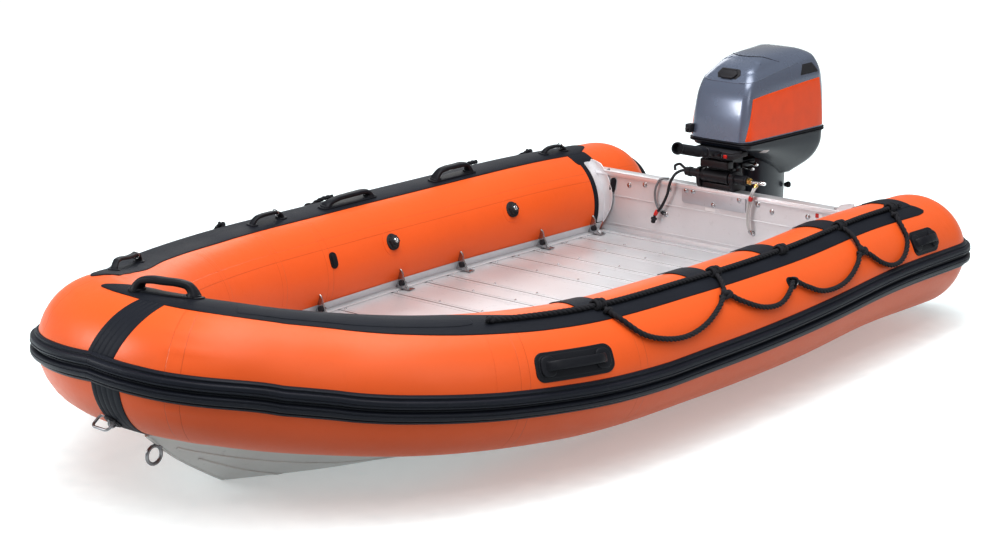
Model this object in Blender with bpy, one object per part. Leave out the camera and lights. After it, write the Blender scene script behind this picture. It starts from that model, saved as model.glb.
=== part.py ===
"""Rigid inflatable rescue boat with a tiller outboard, one named object for each sub-part.

Metres, +Z up. The bow points to -Y and port is +X. The origin is on the centreline at the
waterline, close to amidships.
"""
import math

import bmesh
import bpy
from mathutils import Matrix, Vector

# Fits and clearances
GAP = 0.0003
RUNNING_CLEARANCE = 0.0002

# Inflatable collar: centre of the tube from the port stern to the bow centre
TUBE_RADIUS = 0.238
TUBE_SIDES = 20
PORT_CENTRELINE = [
    (0.848, 1.815, 0.324), (0.867, 1.250, 0.348), (0.898, 0.626, 0.346), (0.891, 0.000, 0.353),
    (0.834, -0.676, 0.371), (0.629, -1.222, 0.417), (0.492, -1.424, 0.446), (0.388, -1.591, 0.480),
    (0.283, -1.716, 0.511), (0.138, -1.778, 0.520), (0.000, -1.790, 0.522),
]
STERN_ARC = 0.069
RINGS_PER_SPAN = [3, 3, 3, 4, 5, 3, 3, 2, 2, 2]
SEAM_FROM_BOW = 1.15
DOME_DEGREES = [20.0, 36.0, 50.0]
CAP_STEPS = [(0.1826, 0.160), (0.202, 0.160), (0.238, 0.138), (0.264, 0.092), (0.275, 0.040)]

# Rubbing strake: profile as distance along the skin and height above it, its centre's angle
# at places along the collar, and its turns round the stern domes
STRAKE_PROFILE = [
    (-0.051, 0.008), (-0.040, 0.011), (-0.033, 0.024), (-0.012, 0.025), (0.000, 0.012),
    (0.012, 0.025), (0.033, 0.024), (0.040, 0.011), (0.051, 0.008),
]
STRAKE_LINE = [
    (0.07, 2.0), (0.70, 0.0), (1.20, -1.0), (1.70, -3.5), (2.20, -6.0), (2.90, -4.5),
    (3.50, -0.5), (3.85, 3.5), (4.08, 8.0),
]
STRAKE_WRAP_DEGREES = [46.0, 31.0, 16.0]
STRAKE_DOME_SEAT = 0.003

# Wear bands and patches of reinforced fabric
BAND_THICKNESS = 0.003
BAND_SEAT = 0.0008
CORNER_SEAT = 0.0016
CORNER_FROM_BOW = 0.42
CORNER_REACH = 0.30
STRAP_WIDTH = 0.13
PORT_STRAPS_AT = [2.42, 1.80, 1.32, 0.84, 0.29]
STRIPE_HALF_WIDTH = 0.050
STRIPE_OFFSET = 0.060
BOW_RING_OFFSET = 0.017
BOW_RING_DEG = -45.0

# Ropes
ROPE_RADIUS = 0.0105
ROPE_HEIGHT = ROPE_RADIUS + BAND_THICKNESS + 2 * GAP
GRAB_LINE_HEIGHT = ROPE_RADIUS + BAND_THICKNESS - GAP
ROPE_END_DROP = 0.0008
GRAB_LINE_DEG = 73.0
GRAB_LINE_RANGE = (0.34, 2.87)
LIFELINE_ROUTE = [
    (2.392, 62.5), (2.369, 52.0), (2.317, 36.0), (2.212, 26.0), (2.107, 23.0), (1.970, 28.0),
    (1.858, 39.0), (1.795, 47.0), (1.732, 37.0), (1.617, 25.5), (1.508, 24.5), (1.430, 32.0),
    (1.385, 38.0), (1.330, 31.0), (1.245, 22.0), (1.151, 19.0), (1.026, 22.0), (0.917, 32.0),
    (0.855, 40.0), (0.815, 34.0), (0.761, 24.0), (0.685, 17.0), (0.600, 17.0), (0.530, 25.0),
    (0.486, 36.0), (0.468, 49.0), (0.440, 61.5),
]

# Side handles on the outboard skin: arc position and width, angle range in degrees
SIDE_HANDLES = [("fore", 2.615, 0.155, 24.0), ("aft", 0.345, 0.105, 28.0)]
SIDE_HANDLE_SPAN_DEG = 25.0
FOOT_SINK = 0.0045

# Top handles and the starboard band's loops: arc range, angles at both ends, rise and width
TOP_HANDLES = [
    ("bow_handle", 3.875, 4.105, (99.0, 87.0), 0.046, 0.034),
    ("grab_handle", 6.905, 7.125, (99.0, 99.0), 0.038, 0.032),
    ("low_handle", 6.200, 6.480, (99.0, 99.0), 0.024, 0.028),
]
STARBOARD_LOOPS = [(4.48, 4.82, 92.0, 0.028), (5.76, 5.94, 97.0, 0.026), (7.63, 7.77, 96.0, 0.022)]
LOOP_FOOT = 0.008

# Inflation valves on the inner skin
VALVES_AT = [("fore", 1.711), ("aft", 0.918)]
VALVE_DEG = 160.0

# Hull: station, keel height, chine half-width, chine height and top height
HULL_STATIONS = [
    (-1.800, 0.258, 0.008, 0.268, 0.330), (-1.745, 0.207, 0.026, 0.240, 0.330),
    (-1.700, 0.168, 0.050, 0.222, 0.330), (-1.564, 0.072, 0.130, 0.190, 0.320),
    (-1.424, -0.012, 0.215, 0.165, 0.290), (-1.327, -0.055, 0.270, 0.148, 0.250),
    (-1.177, -0.103, 0.350, 0.124, 0.1977), (-0.950, -0.140, 0.440, 0.098, 0.1977),
    (-0.600, -0.154, 0.520, 0.074, 0.1977), (0.000, -0.154, 0.580, 0.056, 0.1977),
    (0.800, -0.154, 0.605, 0.048, 0.1977), (1.5824, -0.154, 0.610, 0.044, 0.1977),
]
HULL_TOP_HALF_WIDTH = 0.72
HULL_FLARE_LENGTH = 0.80
KEEL_HALF_WIDTH = 0.012

# Deck
DECK_TOP = 0.220
DECK_THICKNESS = 0.022
DECK_JOINTS = [-1.17, -0.175, 0.372, 0.793, 1.5825]
DECK_GROOVES = [-0.92, -0.67, -0.42, 0.157, 0.514, 0.938, 1.080, 1.267, 1.400]
DECK_GROOVE_WIDTH = 0.008
DECK_GROOVE_DEPTH = 0.004
RAIL_HEIGHT = 0.042
RAIL_WIDTH = 0.040
RAIL_THICKNESS = 0.006
BRACKETS_AT = [-0.285, 0.217, 0.605, 1.133, 1.490]

# Transom
TRANSOM_FRONT = 1.583
TRANSOM_THICKNESS = 0.045
TRANSOM_TOP = 0.500
CAP_HEIGHT = 0.007
CAP_HALF_WIDTH = 0.668
PAD_HALF_WIDTH = 0.165
PAD_LOW = 0.421
PAD_HIGH = 0.494
PAD_THICKNESS = 0.006
KNEE_ARC = 0.302
KNEE_THICKNESS = 0.006
KNEE_SEAT = 0.0008
KNEE_LEG = 0.042
KNEE_FLANGE = [
    (130.0, 0.030), (137.0, 0.050), (150.0, 0.055), (162.0, 0.056), (172.0, 0.050), (181.0, 0.038),
    (190.0, 0.020), (197.0, 0.012),
]

# Outboard
TILT_Y = 1.585
TILT_Z = 0.567
TILT_TUBE_RADIUS = 0.020
TILT_TUBE_HALF = 0.165
SLEEVE_RADIUS = 0.031
SLEEVE_HALF = 0.072
CLAMP_INNER = 0.078
CLAMP_OUTER = 0.098
SWIVEL_Y = 1.725
SWIVEL_RADIUS = 0.034
SWIVEL_LOW = 0.140
SWIVEL_HIGH = 0.585
SEAM_Z = 0.724
SEAL_HALF_THICKNESS = 0.008
PLATE_Z = -0.130
SHAFT_Z = -0.295
SKEG_Z = -0.470
TORPEDO_RADIUS = 0.050
TORPEDO_FRONT = 1.760
TORPEDO_LENGTH = 0.330
PROPELLER_RADIUS = 0.125
PROPELLER_Y = 2.140
TILLER_X = 0.045
TILLER_JOINT_Y = 1.420
TILLER_GRIP_LENGTH = 0.222

ORANGE = (0.80, 0.13, 0.02)
DARK = (0.028, 0.030, 0.036)
SLATE = (0.100, 0.115, 0.150)


def clear_scene():
    """Remove whatever the start-up file holds."""
    for thing in list(bpy.data.objects):
        bpy.data.objects.remove(thing, do_unlink=True)


def make_material(name, colour, roughness, metallic=0.0):
    """Give back a Principled material."""
    material = bpy.data.materials.new(name)
    material.use_nodes = True
    shader = material.node_tree.nodes["Principled BSDF"]
    shader.inputs["Base Color"].default_value = (*colour, 1.0)
    shader.inputs["Roughness"].default_value = roughness
    shader.inputs["Metallic"].default_value = metallic
    material.diffuse_color = (*colour, 1.0)
    return material


def add_object(name, bm, finish, smooth_deg=30.0):
    """Turn a bmesh into a named object with its own material."""
    bmesh.ops.recalc_face_normals(bm, faces=bm.faces)
    mesh = bpy.data.meshes.new(name)
    bm.to_mesh(mesh)
    bm.free()
    mesh.shade_smooth()
    mesh.set_sharp_from_angle(angle=math.radians(smooth_deg))
    thing = bpy.data.objects.new(name, mesh)
    bpy.context.collection.objects.link(thing)
    if finish is not None:
        colour, roughness, metallic = finish
        mesh.materials.append(make_material(name, colour, roughness, metallic))
    return thing


def loft_mesh(rings):
    """Join rings of equally many points into one closed skin with capped ends."""
    bm = bmesh.new()
    loops = [[bm.verts.new(point) for point in ring] for ring in rings]
    count = len(loops[0])
    for near, far in zip(loops, loops[1:]):
        for i in range(count):
            j = (i + 1) % count
            bm.faces.new((near[i], near[j], far[j], far[i]))
    bm.faces.new(loops[0][::-1])
    bm.faces.new(loops[-1])
    return bm


def loft(name, rings, finish, smooth_deg=30.0):
    """Make one lofted object."""
    return add_object(name, loft_mesh(rings), finish, smooth_deg)


def box(name, low, high, finish):
    """Make a plain block between two corners."""
    (x0, y0, z0), (x1, y1, z1) = low, high
    ring = [(x0, y0), (x1, y0), (x1, y1), (x0, y1)]
    return loft(name, [[(x, y, z) for x, y in ring] for z in (z0, z1)], finish)


def prism_x(name, outline, x0, x1, finish):
    """Push a closed (y, z) outline along X."""
    return loft(name, [[(x, y, z) for y, z in outline] for x in (x0, x1)], finish)


def prism_z(name, outline, z0, z1, finish):
    """Push a closed (x, y) outline along Z."""
    return loft(name, [[(x, y, z) for x, y in outline] for z in (z0, z1)], finish)


def rod(name, start, end, radius, sides, finish, end_radius=None):
    """Make a round bar between two points."""
    start, end = Vector(start), Vector(end)
    along = (end - start).normalized()
    side = along.orthogonal().normalized()
    up = along.cross(side)
    rings = []
    for centre, r in ((start, radius), (end, end_radius or radius)):
        angles = [2 * math.pi * k / sides for k in range(sides)]
        rings.append([centre + r * (math.cos(a) * side + math.sin(a) * up) for a in angles])
    return loft(name, rings, finish)


def turned(name, profile, centre, axis, sides, finish):
    """Turn a list of (distance along the axis, radius) about an axis, with capped ends."""
    centre, axis = Vector(centre), Vector(axis).normalized()
    side = axis.orthogonal().normalized()
    up = axis.cross(side)
    angles = [2 * math.pi * k / sides for k in range(sides)]
    rings = []
    for distance, radius in profile:
        middle = centre + distance * axis
        rings.append([middle + radius * (math.cos(a) * side + math.sin(a) * up) for a in angles])
    return loft(name, rings, finish)


def boolean(target, other, operation):
    """Apply a Boolean and drop the tool."""
    modifier = target.modifiers.new(operation, "BOOLEAN")
    modifier.operation = operation
    modifier.solver = "EXACT"
    modifier.object = other
    bpy.context.view_layer.update()
    depsgraph = bpy.context.evaluated_depsgraph_get()
    result = bpy.data.meshes.new_from_object(target.evaluated_get(depsgraph))
    target.modifiers.remove(modifier)
    old = target.data
    target.data = result
    result.name = old.name
    bpy.data.meshes.remove(old)
    bpy.data.objects.remove(other, do_unlink=True)
    return target


def join(target, *others):
    """Union other objects into the target."""
    for other in others:
        boolean(target, other, "UNION")
    return target


def cut(target, *others):
    """Cut other objects out of the target."""
    for other in others:
        boolean(target, other, "DIFFERENCE")
    return target


def rounded_outline(corners, radii, steps=4):
    """Round the corners of a convex anticlockwise outline with arcs."""
    points = []
    count = len(corners)
    for i in range(count):
        here = Vector(corners[i])
        before = (Vector(corners[i - 1]) - here).normalized()
        after = (Vector(corners[(i + 1) % count]) - here).normalized()
        half = 0.5 * before.angle(after)
        reach = radii[i] / math.tan(half)
        centre = here + (before + after).normalized() * (radii[i] / math.sin(half))
        first = here + before * reach - centre
        turn = -first.angle_signed(here + after * reach - centre)
        for k in range(steps + 1):
            points.append(tuple(centre + Matrix.Rotation(turn * k / steps, 2) @ first))
    return points


def hermite_path(points, counts):
    """Sample a smooth curve through points, with a number of steps for each span."""
    points = [Vector(p) for p in points]
    knots = [(b - a).length for a, b in zip(points, points[1:])]
    slopes = []
    for i, _ in enumerate(points):
        if i in (0, len(points) - 1):
            j = min(i, len(knots) - 1)
            slopes.append((points[j + 1] - points[j]) / knots[j])
            continue
        before, after = knots[i - 1], knots[i]
        back = (points[i] - points[i - 1]) / before
        ahead = (points[i + 1] - points[i]) / after
        slopes.append((back * after + ahead * before) / (before + after))
    samples = []
    for i, steps in enumerate(counts):
        span = knots[i]
        for k in range(steps):
            t = k / steps
            samples.append(
                (2 * t**3 - 3 * t**2 + 1) * points[i] + (t**3 - 2 * t**2 + t) * span * slopes[i]
                + (3 * t**2 - 2 * t**3) * points[i + 1] + (t**3 - t**2) * span * slopes[i + 1])
    samples.append(points[-1])
    return samples


class Collar:
    """Faceted tube that everything on the collar is placed against.

    A place on the skin is an arc length from the port stern, an angle from the horizontal
    outboard direction upwards, and a height above the facets.
    """

    def __init__(self):
        mirrored = [(-x, y, z) for x, y, z in PORT_CENTRELINE[-2::-1]]
        counts = RINGS_PER_SPAN + RINGS_PER_SPAN[::-1]
        self.centres = hermite_path(PORT_CENTRELINE + mirrored, counts)
        self.arc = [STERN_ARC]
        for a, b in zip(self.centres, self.centres[1:]):
            self.arc.append(self.arc[-1] + (b - a).length)
        self.start, self.end = self.arc[0], self.arc[-1]
        self.length = self.end + STERN_ARC
        self.middle = 0.5 * self.length
        last = len(self.centres) - 1
        self.outs, self.ups, self.alongs = [], [], []
        for i, _ in enumerate(self.centres):
            along = self.centres[min(i + 1, last)] - self.centres[max(i - 1, 0)]
            along.normalize()
            out = Vector((0, 0, 1)).cross(along).normalized()
            self.alongs.append(along)
            self.outs.append(out)
            self.ups.append(along.cross(out))

    def frame(self, s):
        """Centre, outboard and upward vectors at an arc length, straight between rings."""
        s = min(max(s, self.start), self.end)
        i = max(k for k, value in enumerate(self.arc[:-1]) if value <= s)
        t = (s - self.arc[i]) / (self.arc[i + 1] - self.arc[i])
        mix = [a.lerp(b, t) for a, b in (
            (self.centres[i], self.centres[i + 1]), (self.outs[i], self.outs[i + 1]),
            (self.ups[i], self.ups[i + 1]), (self.alongs[i], self.alongs[i + 1]))]
        return mix

    def point(self, s, degrees, height):
        """A point over the round skin, for what stands clear of the facets."""
        centre, out, up, _ = self.frame(s)
        a = math.radians(degrees)
        return centre + (TUBE_RADIUS + height) * (math.cos(a) * out + math.sin(a) * up)

    def facet_point(self, s, degrees, height):
        """A point over the flat facet at that angle."""
        step = 360.0 / TUBE_SIDES
        k = math.floor(degrees / step + 1e-9)
        t = degrees / step - k
        return self.point(s, k * step, height).lerp(self.point(s, (k + 1) * step, height), t)

    def corner(self, s):
        """Extra clearance at the bow's corners, where the facets twist."""
        away = abs(abs(s - self.middle) - CORNER_FROM_BOW)
        return CORNER_SEAT * max(0.0, 1.0 - away / CORNER_REACH)

    def stations(self, start, end):
        """The given ends and every ring between them."""
        inside = [value for value in self.arc if start + 0.004 < value < end - 0.004]
        return [start] + inside + [end]

    def angles(self, low, high):
        """The given ends and every facet edge between them."""
        step = 360.0 / TUBE_SIDES
        first = math.floor(low / step) + 1
        inside = [k * step for k in range(first, math.ceil(high / step)) if k * step < high - 0.5]
        return [low] + [a for a in inside if a > low + 0.5] + [high]

    def tube_rings(self, start, end, clearance=0.0):
        """Rings of the tube skin itself, or of a slightly larger one that clears it."""
        step = 360.0 / TUBE_SIDES
        rings = []
        for s in self.stations(start, end):
            height = clearance + self.corner(s) if clearance else 0.0
            rings.append([self.point(s, k * step, height) for k in range(TUBE_SIDES)])
        return rings

    def place(self, y):
        """Arc length on the port side at a station."""
        return min(zip([abs(c.y - y) for c in self.centres], self.arc))[1]

    def centre_x(self, y):
        """Half-width of the port centreline at a station, straight between rings."""
        for a, b in zip(self.centres, self.centres[1:]):
            if b.y <= y <= a.y:
                return a.lerp(b, (y - a.y) / (b.y - a.y)).x
        return self.centres[0].x

    def side(self, s, port):
        """Arc length of a port place, or of its mirror place to starboard."""
        return s if port else self.length - s


COLLAR = Collar()
RUBBER = (DARK, 0.55, 0.0)
FABRIC = (ORANGE, 0.42, 0.0)
ALLOY = ((0.62, 0.63, 0.64), 0.36, 1.0)
STEEL = ((0.60, 0.60, 0.60), 0.22, 1.0)
BLACK = ((0.012, 0.012, 0.014), 0.45, 0.0)
GREY_PAINT = (SLATE, 0.25, 0.3)


def pad_mesh(rows, seat=BAND_SEAT):
    """Skin a pad from rows of (arc length, low angle, high angle, thickness)."""
    step = 360.0 / TUBE_SIDES
    lowest = min(row[1] for row in rows)
    highest = max(row[2] for row in rows)
    cuts = [k * step for k in range(math.floor(lowest / step) + 1, math.ceil(highest / step))]
    rings = []
    for s, low, high, thickness in rows:
        angles = [low + 0.02] + [min(max(a, low + 0.04 + 0.01 * n), high - 0.04 - 0.01 * (len(cuts) - n))
                                 for n, a in enumerate(cuts)] + [high]
        extra = COLLAR.corner(s)
        inner = [COLLAR.facet_point(s, a, seat + extra) for a in angles]
        outer = [COLLAR.facet_point(s, a, thickness + extra) for a in angles]
        rings.append(outer + inner[::-1])
    return loft_mesh(rings)


def blend_rows(outline, thickness):
    """Fill rows between the given (arc, low, high) rows.

    There is one at every ring of the tube, and one wherever an edge crosses a facet's edge.
    """
    step = 360.0 / TUBE_SIDES
    rows = []
    for start, end in zip(outline, outline[1:]):
        s0, s1 = start[0], end[0]
        places = set(COLLAR.stations(s0, s1)) if s1 > s0 + 0.008 else {s0, s1}
        for a0, a1 in zip(start[1:], end[1:]):
            first, last = sorted((a0 / step, a1 / step))
            for k in range(math.floor(first) + 1, math.ceil(last)):
                places.add(s0 + (s1 - s0) * (k * step - a0) / (a1 - a0))
        for s in sorted(places)[:-1]:
            t = (s - s0) / (s1 - s0)
            low, high = (a0 + t * (a1 - a0) for a0, a1 in zip(start[1:], end[1:]))
            rows.append((s, low, high, thickness))
    rows.append((*outline[-1], thickness))
    return rows


def make_collar():
    """The collar: three air chambers with stern cones and their black end caps."""
    seam_port = COLLAR.middle - SEAM_FROM_BOW
    seam_starboard = COLLAR.middle + SEAM_FROM_BOW
    loft("collar_bow", COLLAR.tube_rings(seam_port + GAP, seam_starboard - GAP), FABRIC)
    for side, port in (("port", True), ("starboard", False)):
        dome = []
        for degrees in DOME_DEGREES:
            a = math.radians(degrees)
            dome.append(end_ring(port, TUBE_RADIUS * math.sin(a), TUBE_RADIUS * math.cos(a)))
        if port:
            rings = dome[::-1] + COLLAR.tube_rings(COLLAR.start, seam_port)
        else:
            rings = COLLAR.tube_rings(seam_starboard, COLLAR.end) + dome
        loft(f"collar_{side}", rings, FABRIC)
        loft(f"end_cap_{side}", [end_ring(port, d, r) for d, r in CAP_STEPS], RUBBER)


def stern_frame(port):
    """Centre of a stern dome with its outboard, upward and aft directions."""
    centre, out, up, along = COLLAR.frame(COLLAR.start if port else COLLAR.end)
    return centre, out, up, -along if port else along


def end_ring(port, distance, radius):
    """One ring of a stern dome or of its cap."""
    centre, out, up, aft = stern_frame(port)
    middle = centre + distance * aft
    angles = [2 * math.pi * k / TUBE_SIDES for k in range(TUBE_SIDES)]
    return [middle + radius * (math.cos(a) * out + math.sin(a) * up) for a in angles]


def make_strakes():
    """The double-ribbed rubbing strake round the collar's widest line, one length a side."""
    step = 360.0 / TUBE_SIDES
    for side, port in (("port", True), ("starboard", False)):
        ends = (COLLAR.start, COLLAR.middle - GAP) if port else (COLLAR.middle + GAP, COLLAR.end)
        rings = []
        for s in COLLAR.stations(*ends):
            low, high = strake_edges(s)
            middle = 0.5 * (low + high)
            ring = [COLLAR.point(s, middle + math.degrees(distance / TUBE_RADIUS), height)
                    for distance, height in STRAKE_PROFILE]
            for degrees in (high, min(step, high - 0.5), 0.0, max(-step, low + 0.5), low):
                ring.append(COLLAR.facet_point(s, degrees, BAND_SEAT + COLLAR.corner(s)))
            rings.append(ring)
        wrap = [strake_wrap_ring(port, turn) for turn in STRAKE_WRAP_DEGREES]
        rings = wrap + rings if port else rings + wrap[::-1]
        loft(f"strake_{side}", rings, RUBBER)


def strake_edges(s):
    """Lower and upper angle of the strake at an arc length."""
    s = min(s, COLLAR.length - s)
    reach = math.degrees(STRAKE_PROFILE[-1][0] / TUBE_RADIUS)
    middle = STRAKE_LINE[-1][1]
    for (s0, a0), (s1, a1) in zip(STRAKE_LINE, STRAKE_LINE[1:]):
        if s <= s1:
            middle = a0 + (a1 - a0) * max(0.0, s - s0) / (s1 - s0)
            break
    return middle - reach, middle + reach


def strake_wrap_ring(port, turn):
    """A section of the strake where it follows the stern dome inboard."""
    centre, out, up, aft = stern_frame(port)
    heading = math.cos(math.radians(turn)) * out + math.sin(math.radians(turn)) * aft
    low, high = strake_edges(STERN_ARC)
    places = [(0.5 * (low + high) + math.degrees(d / TUBE_RADIUS), h) for d, h in STRAKE_PROFILE]
    places += [(degrees, STRAKE_DOME_SEAT) for degrees in (high, high - 0.5, 0.0, low + 0.5, low)]
    ring = []
    for degrees, height in places:
        a = math.radians(degrees)
        ring.append(centre + (TUBE_RADIUS + height) * (math.cos(a) * heading + math.sin(a) * up))
    return ring


def make_bands():
    """The dark reinforcing bands on top of the collar, with the port side's cross straps."""
    port_rows = [(0.190, 58.0, 62.0), (0.250, 56.0, 79.0), (2.70, 57.0, 79.0), (3.00, 60.0, 98.0),
                 (3.35, 65.0, 100.0), (3.70, 69.0, 103.0)]
    band = add_object("band_port", pad_mesh(blend_rows(port_rows, BAND_THICKNESS)), RUBBER)
    for s in PORT_STRAPS_AT:
        rows = [(s - 0.5 * STRAP_WIDTH, 70.0, 116.0), (s + 0.5 * STRAP_WIDTH, 70.0, 116.0)]
        strap = add_object("strap", pad_mesh(blend_rows(rows, 0.9 * BAND_THICKNESS)), RUBBER)
        join(band, strap)
    length = COLLAR.length
    starboard_rows = [(length - 3.78, 80.0, 105.0), (length - 3.35, 66.0, 107.0),
                      (length - 2.70, 57.0, 110.0), (length - 0.30, 56.0, 110.0),
                      (length - 0.19, 75.0, 95.0)]
    mesh = pad_mesh(blend_rows(starboard_rows, BAND_THICKNESS))
    band = add_object("band_starboard", mesh, RUBBER)
    for s0, s1, degrees, rise in STARBOARD_LOOPS:
        feet = [(s0 - 0.02, degrees - 5.0, degrees + 5.0), (s1 + 0.02, degrees - 5.0, degrees + 5.0)]
        join(band, add_object("feet", pad_mesh(blend_rows(feet, LOOP_FOOT), 2 * BAND_SEAT), RUBBER))
        join(band, arch("loop", s0, s1, (degrees, degrees), rise, 0.024, 0.014, LOOP_FOOT, RUBBER))
    make_bow_patch()


def make_bow_patch():
    """The pointed patch under the bow handle and the stripe down the bow."""
    middle = COLLAR.middle
    rows = [(3.7003, 69.2, 103.0), (middle - 0.22, 74.0, 108.0), (middle + 0.02, 77.0, 104.0),
            (middle + 0.10, 77.5, 95.0), (middle + 0.165, 78.0, 82.0)]
    patch = add_object("bow_patch", pad_mesh(blend_rows(rows, BAND_THICKNESS)), RUBBER)
    centre = middle - STRIPE_OFFSET
    reach = STRIPE_HALF_WIDTH
    foot = strake_edges(middle)[1] + 0.7
    below = (-78.0, strake_edges(centre - reach)[0] - 0.5)
    rows = [(3.92, 75.5, 78.0), (3.99, foot, 78.0), (4.015, foot, 78.0), (4.077, foot, foot + 2.5)]
    join(patch, add_object("stripe", pad_mesh(blend_rows(rows, 0.9 * BAND_THICKNESS)), RUBBER))
    rows = [(centre - reach, *below), (centre + reach, *below)]
    add_object("bow_stripe_low", pad_mesh(blend_rows(rows, 0.9 * BAND_THICKNESS)), RUBBER)


def rope(name, route, radius, finish=BLACK, spacing=0.060, resolution=2):
    """A round cord along a smooth curve through a hand-chosen route."""
    spans = [max(1, round((Vector(b) - Vector(a)).length / spacing)) for a, b in zip(route, route[1:])]
    points = hermite_path(route, spans)
    curve = bpy.data.curves.new(name, "CURVE")
    curve.dimensions = "3D"
    spline = curve.splines.new("POLY")
    spline.points.add(len(points) - 1)
    for slot, point in zip(spline.points, points):
        slot.co = (*point, 1.0)
    curve.bevel_depth = radius
    curve.bevel_resolution = resolution
    curve.use_fill_caps = True
    thing = bpy.data.objects.new(name, curve)
    bpy.context.collection.objects.link(thing)
    colour, roughness, metallic = finish
    curve.materials.append(make_material(name, colour, roughness, metallic))
    return thing


def make_ropes():
    """A straight grab line along the port top band and a swagged lifeline on each side."""
    places = COLLAR.stations(*GRAB_LINE_RANGE)
    line = [COLLAR.point(s, GRAB_LINE_DEG, GRAB_LINE_HEIGHT) for s in places]
    rope("grab_line_port", line, ROPE_RADIUS, spacing=0.2)
    for side, port in (("port", True), ("starboard", False)):
        heights = [ROPE_HEIGHT] * len(LIFELINE_ROUTE)
        heights[0] = heights[-1] = ROPE_HEIGHT - ROPE_END_DROP
        loop = [COLLAR.point(COLLAR.side(s, port), a, h) for (s, a), h in zip(LIFELINE_ROUTE, heights)]
        rope(f"lifeline_{side}", loop, ROPE_RADIUS)


def arch(name, s0, s1, degrees, rise, width, thickness, base, finish):
    """A carrying handle: a flat bar that rises from the skin, runs along it and comes down."""
    lead = min(0.045, 0.25 * abs(s1 - s0))
    sign = 1.0 if s1 > s0 else -1.0
    slope = (degrees[1] - degrees[0]) / (s1 - s0)
    path = [(s0, base), (s0 + sign * 0.35 * lead, base + 0.62 * rise),
            (s0 + sign * lead, base + rise), (s1 - sign * lead, base + rise),
            (s1 - sign * 0.35 * lead, base + 0.62 * rise), (s1, base)]
    half = math.degrees(0.5 * width / TUBE_RADIUS)
    rings = []
    for i, (s, height) in enumerate(path):
        tilt = 0.5 * thickness
        shift = sign * tilt * (1.0 if i < 3 else -1.0)
        inner_s, inner_h = s + (shift if i in (0, 1, 4, 5) else 0.6 * shift), height - 0.3 * tilt
        outer_s, outer_h = s - (shift if i in (0, 1, 4, 5) else 0.6 * shift), height + 1.4 * tilt
        if i in (0, 5):
            inner_h = outer_h = base - FOOT_SINK
        middle = degrees[0] + slope * (s - s0)
        rings.append([COLLAR.point(inner_s, middle - half, inner_h),
                      COLLAR.point(inner_s, middle + half, inner_h),
                      COLLAR.point(outer_s, middle + half, outer_h),
                      COLLAR.point(outer_s, middle - half, outer_h)])
    return loft(name, rings, finish)


def make_handles():
    """Side handles on their patches, the bow handle and the two handles on the starboard top."""
    half_span = 0.5 * SIDE_HANDLE_SPAN_DEG
    for side, port in (("port", True), ("starboard", False)):
        for place, s, reach, degrees in SIDE_HANDLES:
            middle = COLLAR.side(s, port)
            low, high = degrees - half_span, degrees + half_span
            rows = [(middle - reach, low, high), (middle + reach, low, high)]
            name = f"side_handle_{side}_{place}"
            patch = add_object(name, pad_mesh(blend_rows(rows, 0.006)), RUBBER)
            grip = arch("grip", middle - 0.75 * reach, middle + 0.75 * reach, (degrees, degrees),
                        0.030, 0.040, 0.016, 0.006, RUBBER)
            join(patch, grip)
    raised = BAND_THICKNESS + GAP
    for name, s0, s1, degrees, rise, width in TOP_HANDLES:
        reach = math.degrees(0.024 / TUBE_RADIUS)
        ends = [(s0 - 0.035, degrees[0]), (s1 + 0.035, degrees[1])]
        base = seat_on_band([(s, middle - reach, middle + reach) for s, middle in ends], raised)
        handle = add_object(name, base, RUBBER)
        join(handle, arch("grip", s0, s1, degrees, rise, width, 0.018, raised + 0.006, RUBBER))


def seat_on_band(rows, height):
    """A foot pad that lies on the band instead of on the bare skin."""
    rings = []
    step = 360.0 / TUBE_SIDES
    edge = round((rows[0][1] + rows[-1][2]) / (2 * step)) * step
    for s, low, high, _ in blend_rows(rows, 0.0):
        cuts = [low, min(max(edge, low + 0.04), high - 0.04), high]
        seat = height + 1.5 * COLLAR.corner(s)
        inner = [COLLAR.facet_point(s, a, seat) for a in cuts]
        outer = [COLLAR.facet_point(s, a, seat + 0.006) for a in cuts]
        rings.append(outer + inner[::-1])
    return loft_mesh(rings)


def make_valves():
    """Inflation valves on the inner faces of the side chambers."""
    for side, port in (("port", True), ("starboard", False)):
        for place, s in VALVES_AT:
            where = COLLAR.side(s, port)
            centre = COLLAR.facet_point(where, VALVE_DEG, GAP)
            outward = COLLAR.facet_point(where, 153.0, 0.1) - COLLAR.facet_point(where, 153.0, 0.0)
            profile = [(0.0003, 0.036), (0.006, 0.034), (0.008, 0.025), (0.022, 0.023), (0.026, 0.016)]
            turned(f"valve_{side}_{place}", profile, centre, outward, 16, BLACK)


def make_hull():
    """The aluminium V hull under the collar, closed by its deck level."""
    rings = []
    bow = HULL_STATIONS[0][0]
    for y, keel, chine_x, chine_z, top_z in HULL_STATIONS:
        keel_x = min(KEEL_HALF_WIDTH, 0.5 * chine_x)
        spread = min(1.0, (y - bow) / HULL_FLARE_LENGTH)
        top_x = chine_x + spread**0.7 * (HULL_TOP_HALF_WIDTH - chine_x) + 0.014
        port = [(keel_x, keel), (chine_x, chine_z - 0.014), (chine_x + 0.012, chine_z), (top_x, top_z)]
        ring = [(x, y, z) for x, z in port] + [(-x, y, z) for x, z in port[::-1]]
        rings.append(ring)
    hull = loft("hull", rings, ALLOY, 20.0)
    cut(hull, collar_cutter())


def collar_cutter():
    """The collar with a hair's clearance, for trimming what lies against it."""
    return loft("cutter", COLLAR.tube_rings(COLLAR.start, COLLAR.end, GAP), None)


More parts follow.
